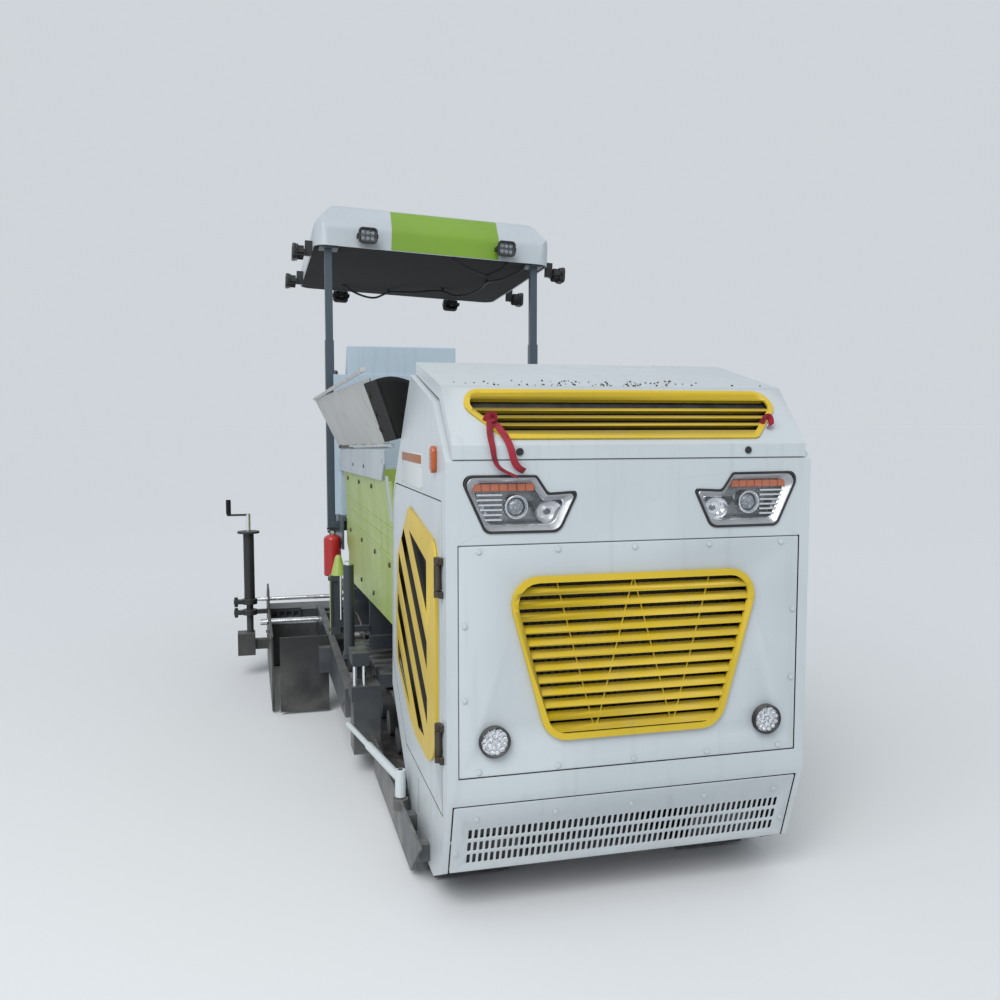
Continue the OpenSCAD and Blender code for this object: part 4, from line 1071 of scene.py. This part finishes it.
def on_bracket(spot):
    """Whether a point lies on the bracket that carries a seat's back."""
    return (abs(abs(spot.x) - SEAT_X) < BRACKET_HALF and spot.y - FRONT_Y > BRACKET_FRONT
            and spot.z < BRACKET_TOP)


seat_frame = formed("seats", "frame", SEAT_FRAME, width=0.004)
frame_mesh = bmesh.new()
frame_mesh.from_mesh(seat_frame.data)
middles = [(face, face.calc_center_median()) for face in frame_mesh.faces]
plain_pads = [face for face, middle in middles if middle.z > PAN_FOOT and not on_bracket(middle)]
bmesh.ops.delete(frame_mesh, geom=plain_pads, context="FACES")
frame_mesh.to_mesh(seat_frame.data)
frame_mesh.free()
for side, x in (("left", -SEAT_X), ("right", SEAT_X)):
    pan = cushion("seat_pan_" + side, 0.425, 0.395, 0.088, 0.010, Matrix.Translation(at(x, 4.035, 1.4460)))
    lean = Matrix.Translation(at(x, 4.190, 1.502)) @ Matrix.Rotation(math.radians(-9), 4, "X")
    upright = Matrix.Translation((0, 0.040, 0.240)) @ Matrix.Rotation(math.radians(90), 4, "X")
    back = cushion("seat_back_" + side, 0.405, 0.465, 0.068, 0.008, lean @ upright)
    for pad in (pan, back):
        add(pad, "chassis", slot="seat_cover")

# Canopy
# A moulded white shell over a black liner on two square posts. A plain green panel wraps its front edge.
ROOF_AT, ROOF_ROLL, ROOF_PITCH = (0, 3.400, 2.700), math.radians(2.7), math.radians(2.3)
ROOF = Matrix.Translation(at(*ROOF_AT)) @ Matrix.Rotation(ROOF_ROLL, 4, "Y") @ Matrix.Rotation(-ROOF_PITCH, 4, "X")
SHELL = paint("shell_white_paint", (0.49, 0.53, 0.56), gloss=0.25, dust=0.15, streaks=0.08, chips=0.05, dirt=0)
LIME = paint("lime_panel", (0.185, 0.335, 0.024), gloss=0.35, dust=0.08, streaks=0.05, chips=0.05, dirt=0)
formed("canopy_roof", "shell", SHELL, "canopy", width=0.004, angle=30)
# The liner takes the near-black foam finish, darker than its own black: painted shade that keeps the underside dark
# under light thrown up from the floor.
formed("canopy_liner", "sheet", FOAM_AND_SHADE, "canopy", width=0.002)
formed("canopy_posts", "tube", SLATE, "canopy", width=0.002)
SHELL_SECTION = [(0.8, 0.290), (0.120, 0.290), (0, 0.135), (0, 0), (0.8, 0)]
PANEL_END, PANEL_FOOT = 0.118, 0.003
PANEL_SECTION = ((-0.288, 0.0016), (0.420, 0.0016), (0.420, -0.001), (-0.288, -0.001))
section = rounded(SHELL_SECTION, [0.1, 0.100, 0.090, 0.0001, 0.1], 8)
edge_line = [p for p in section if p.x < PANEL_END and p.y > PANEL_FOOT] + [Vector((0, PANEL_FOOT))]
panel_rows = []
for i, point in enumerate(edge_line):
    along = (edge_line[min(i + 1, len(edge_line) - 1)] - edge_line[max(i - 1, 0)]).normalized()
    out = Vector((-abs(along.y), abs(along.x)))
    panel_rows.append([ROOF @ Vector((x, point.x + out.x * by, point.y + out.y * by)) for x, by in PANEL_SECTION])
add(skin("canopy_panel", panel_rows, LIME, capped=True, angle=50), "canopy", slot="green_paint")

# Work lamps
# Black die-cast lamps with cooling fins behind, a clear front over small reflectors and a flat steel yoke.
LAMP_BLACK = plastic("lamp_casting", (0.010, 0.010, 0.011), roughness=0.4, dust=0.15)


def work_lamp(reach, rise):
    """One lamp that looks to the front from a bracket on the plane y = 0."""
    front = -0.085 - reach
    outer, inner = tile((-0.060, -0.050), (0.060, 0.050), 0.026, 6), tile((-0.049, -0.039), (0.049, 0.039), 0.018, 6)
    back = tile((-0.057, -0.047), (0.057, 0.047), 0.024, 6)
    glass = tile((-0.050, -0.040), (0.050, 0.040), 0.018, 6)
    parts = [cut_sheet("rim", [outer, inner], 0.022, 0.003, front_plane(0.022, front), LAMP_BLACK),
             cut_sheet("back", [back], 0.018, 0.003, front_plane(0.036, front), LAMP_BLACK),
             cut_sheet("glass", [glass], 0.002, 0.0005, front_plane(0.007, front),
                       clear("work_lamp_glass", (0.5, 0.55, 0.6), 0.05))]
    places = [(x, front + 0.019, z) for x in (-0.030, 0, 0.030) for z in (-0.018, 0.018)]
    # The reflectors take the dark projector-lens finish instead of a bright one: painted shade, as the work lamps
    # stand in shade.
    parts.append(screws("reflectors", places, (0, -1, 0), LENS, 0.0125, 0.007, 18))

    def bar(name, low, high, edge=0.001, segments=1):
        (x1, y1, z1), (x2, y2, z2) = low, high
        parts.append(block(name, (x1, front + y1, z1), (x2, front + y2, z2), LAMP_BLACK, edge, segments))

    for i in range(9):
        x = -0.048 + i * 0.012
        tall = 0.044 - 0.016 * (x / 0.048) ** 2
        bar("fin", (x - 0.0015, 0.034, -tall), (x + 0.0015, 0.072, tall), 0.0008)
    for side in (-1, 1):
        low, high = sorted((side * 0.061, side * 0.066))
        bar("yoke_leg", (low, 0.012, -0.012), (high, 0.078, 0.012))
        ear = [(side * x, front + 0.030, 0) for x in (0.058, 0.066)]
        parts.append(rod("ear", *ear, 0.013, LAMP_BLACK, 20, 0.002))
    bar("yoke_back", (-0.066, 0.074, -0.012), (0.066, 0.079, 0.012))
    bar("bracket", (-0.014, 0.078, -0.018), (0.014, 0.002 - front, 0.018 + rise), 0.002, 2)
    return join("work_lamp", parts)


def lamp_at(x, y, z, turn=0.0):
    """A lamp's place on the roof: the foot of its bracket, and its turn from the front towards the right."""
    return Matrix.Translation((x, y, z)) @ Matrix.Rotation(turn, 4, "Z")


LAMPS = (
    (0.020, 0, [lamp_at(x, 0, 0.060) for x in (-0.450, 0.450)]),
    (0.020, 0.060, [lamp_at(x, 1.600, -0.025, math.pi) for x in (-0.450, 0.450)]),
    (0.040, 0.060, [lamp_at(side * 0.780, y, -0.040, side * math.pi / 2) for side in (-1, 1) for y in (0.110, 1.130)]),
)
lamps = []
for reach, rise, places in LAMPS:
    pattern = work_lamp(reach, rise)
    lamps += [copied(pattern, ROOF @ place) for place in places]
    bpy.data.objects.remove(pattern)
add(join("work_lamps_cast", lamps), "canopy", "work_lamps")

# Lamp cables
# Black rubber cable, clipped to the liner and hanging in slack bights between the clips.
CABLE = plastic("cable_rubber", (0.010, 0.010, 0.010), roughness=0.6, dust=0.1)
CABLE_D = 0.016


def cable(name, points):
    """A round cable along a smooth line; its length is measured but not kept."""
    line = smooth_path([at(*point) for point in points], 8)
    shape = bpy.data.curves.new(name, "CURVE")
    shape.dimensions = "3D"
    shape.bevel_depth = CABLE_D / 2
    shape.bevel_resolution = 3
    shape.use_fill_caps = True
    run = shape.splines.new("POLY")
    run.points.add(len(line) - 1)
    for point, place in zip(run.points, line):
        point.co = (*place, 1)
    piece = placed(name, shape, CABLE)
    add(piece, "canopy", slot="rubber")
    length_of(line)


def liner_z(x, y):
    """Height of the liner's underside over a point of the ground."""
    return ROOF_AT[2] - x * math.tan(ROOF_ROLL) - (y - ROOF_AT[1]) * math.tan(ROOF_PITCH)


def hanging(*route):
    """Points of a route: across, back, and down from the liner."""
    return [(x, y, liner_z(x, y) - drop) for x, y, drop in route]


cable("lamp_cable_rear", hanging(
    (-0.470, 4.700, 0.004), (-0.393, 4.770, 0.034), (-0.290, 4.860, 0.050), (-0.197, 4.900, 0.046),
    (-0.110, 4.780, 0.020), (-0.037, 4.650, 0.034), (0.070, 4.530, 0.046), (0.164, 4.467, 0.038),
    (0.270, 4.520, 0.026), (0.375, 4.540, 0.046), (0.450, 4.400, 0.052), (0.497, 4.227, 0.036),
    (0.500, 4.050, 0.026), (0.499, 3.899, 0.040), (0.540, 3.780, 0.046), (0.579, 3.675, 0.036),
    (0.610, 3.570, 0.024), (0.628, 3.473, 0.004)))
cable("lamp_cable_front", hanging(
    (0.120, 3.440, 0.004), (0.160, 3.450, 0.026), (0.230, 3.475, 0.048), (0.286, 3.500, 0.060),
    (0.350, 3.560, 0.066), (0.393, 3.590, 0.062), (0.430, 3.540, 0.050), (0.462, 3.480, 0.034),
    (0.490, 3.440, 0.004)))
clips = []
for x, y in ((-0.110, 4.780), (0.270, 4.520), (0.500, 4.050)):
    z = liner_z(x, y)
    clips.append(block("clip", at(x - 0.008, y - 0.008, z - 0.030), at(x + 0.008, y + 0.008, z + 0.001), CABLE, 0.002))
add(join("cable_clips", clips), "canopy", slot="black_paint")

# Tow points
# Welded columns that carry the screed's pivots, levelling cylinders and a slotted upright with a green cap.
columns = formed("tow_columns", "welded", DARK_STEEL)
COLUMN_PARTS = (
    (CHROME, (0.700, 1.455, 0.422), (0.764, 1.485, 0.514)),
    (CHROME, (0.735, 1.640, 0.951), (0.780, 1.695, 0.970)),
    (GREEN, (0.700, 2.100, 0.829), (0.820, 2.200, 0.960)),  # cap of the upright
    (CHROME, (0.743, 2.110, 0.598), (0.761, 2.1325, 0.828)),
    (GREEN, (0.8055, 2.115, 0.525), (0.820, 2.185, 0.830)),  # slotted face under it
)
for finish, low, high in COLUMN_PARTS:
    repaint(columns, finish, low, high)
NUT_PLACES = [(-0.8055, 2.150, z) for z in (0.545, 0.810)]
NUT_PLACES += [(-0.7355, y, z) for y in (1.625, 1.720) for z in (0.100, 0.300)]
nuts = screws("tow_nuts_left", [at(*place) for place in NUT_PLACES], (-1, 0, 0), HINGE, 0.013, 0.009, 6)
add_pair(nuts, "chassis", slot="worn_steel")

# Screed
# A dark welded box with a grated walkway, sliding extensions on bright tubes, end plates and height jacks.
# Near-black paint: the end plates' and jacks' own colour, and painted shade on the front faces of the tow arms.
NEAR_BLACK_AND_SHADE = paint("near_black_paint_and_shade", (0.012, 0.013, 0.015), gloss=0.5, dust=0.22, streaks=0.05, chips=0.3, dirt=0.2)
arms = formed("tow_arms", "welded", DARK_STEEL, "screed")
# The front faces of the arms ahead of the auger chamber take the near-black paint as painted shade for the deep shade
# there.
repaint(arms, NEAR_BLACK_AND_SHADE, (0.786, 2.49, 0.0), (1.10, 2.52, 0.45))
formed("screed_body", "box", DARK_STEEL, "screed")
formed("walkway", "grating", SLATE, "screed", width=0)
END_BOLTS = [(3.450, 0.250), (3.450, 0.420), (3.650, 0.300), (3.800, 0.200), (2.700, 0.380), (2.950, 0.380),
             (3.200, 0.380)]
for side, sign in (("left", -1), ("right", 1)):
    body = "extension_" + side
    slide = formed("screed_ext_" + side, "box", DARK_STEEL, body)
    repaint(slide, CHROME, (0.600, 3.41, 0.470), (1.170, 3.45, 0.510))
    repaint(slide, CHROME, (0.600, 3.405, 0.318), (1.150, 3.455, 0.362))
    formed("end_plate_" + side, "steel", NEAR_BLACK_AND_SHADE, body)
    jack = formed("height_jack_" + side, "tube", NEAR_BLACK_AND_SHADE, body, width=0.002)
    repaint(jack, RUBBER, (1.30, 3.38, 1.045), (1.35, 3.42, 1.14))
    repaint(jack, CHROME, (1.190, 3.38, 0.935), (1.226, 3.42, 1.028))
    bolt_places = [at(sign * 1.0995, y, z) for y, z in END_BOLTS]
    add(screws("end_bolts_" + side, bolt_places, (sign, 0, 0), HINGE, 0.012, 0.008, 6), body, slot="worn_steel")

# Augers
# A shaft in a middle bearing on each side, with a welded flight polished by the mix.
AUGER_STEEL = metal("polished_flight", (0.24, 0.24, 0.24), roughness=0.4, scratches=0.7, dust=0.2)
for side in ("left", "right"):
    formed("auger_" + side, "flight", AUGER_STEEL, "auger_" + side, width=0.001, angle=50)

# Fire extinguisher
# A red enamelled bottle with a black valve and lever, held in a bracket on the platform's edge.
RED = paint("red_enamel", (0.42, 0.015, 0.018), gloss=0.2, dust=0.12, streaks=0.05, chips=0.05, dirt=0)
bottle = formed("extinguisher", "bottle", RED, width=0.002)
repaint(bottle, BLACK, (0.600, 3.20, 0.9125), (0.760, 3.34, 0.970))
repaint(bottle, BLACK, (0.600, 3.20, 0.8495), (0.760, 3.34, 0.8665))
gauge = rod("gauge", at(-0.697, 3.252, 0.925), at(-0.697, 3.262, 0.925), 0.012, CHROME, 24, 0.002)
pin = rod("pull_pin", at(-0.722, 3.262, 0.940), at(-0.680, 3.262, 0.940), 0.003, CHROME, 12)
add(join("extinguisher_gauge", [gauge, pin]), "chassis", slot="worn_steel")

# Direction rod
# A white steel tube with a thinner end tube, swinging on a bracket on the left guard.
ROD_WHITE = paint("rod_white_paint", (0.55, 0.60, 0.62), gloss=0.3, dust=0.15, streaks=0.1, chips=0.3, dirt=0.2)
formed("guide_rod", "tube", ROD_WHITE, "guide_rod", width=0.002)

low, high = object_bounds()
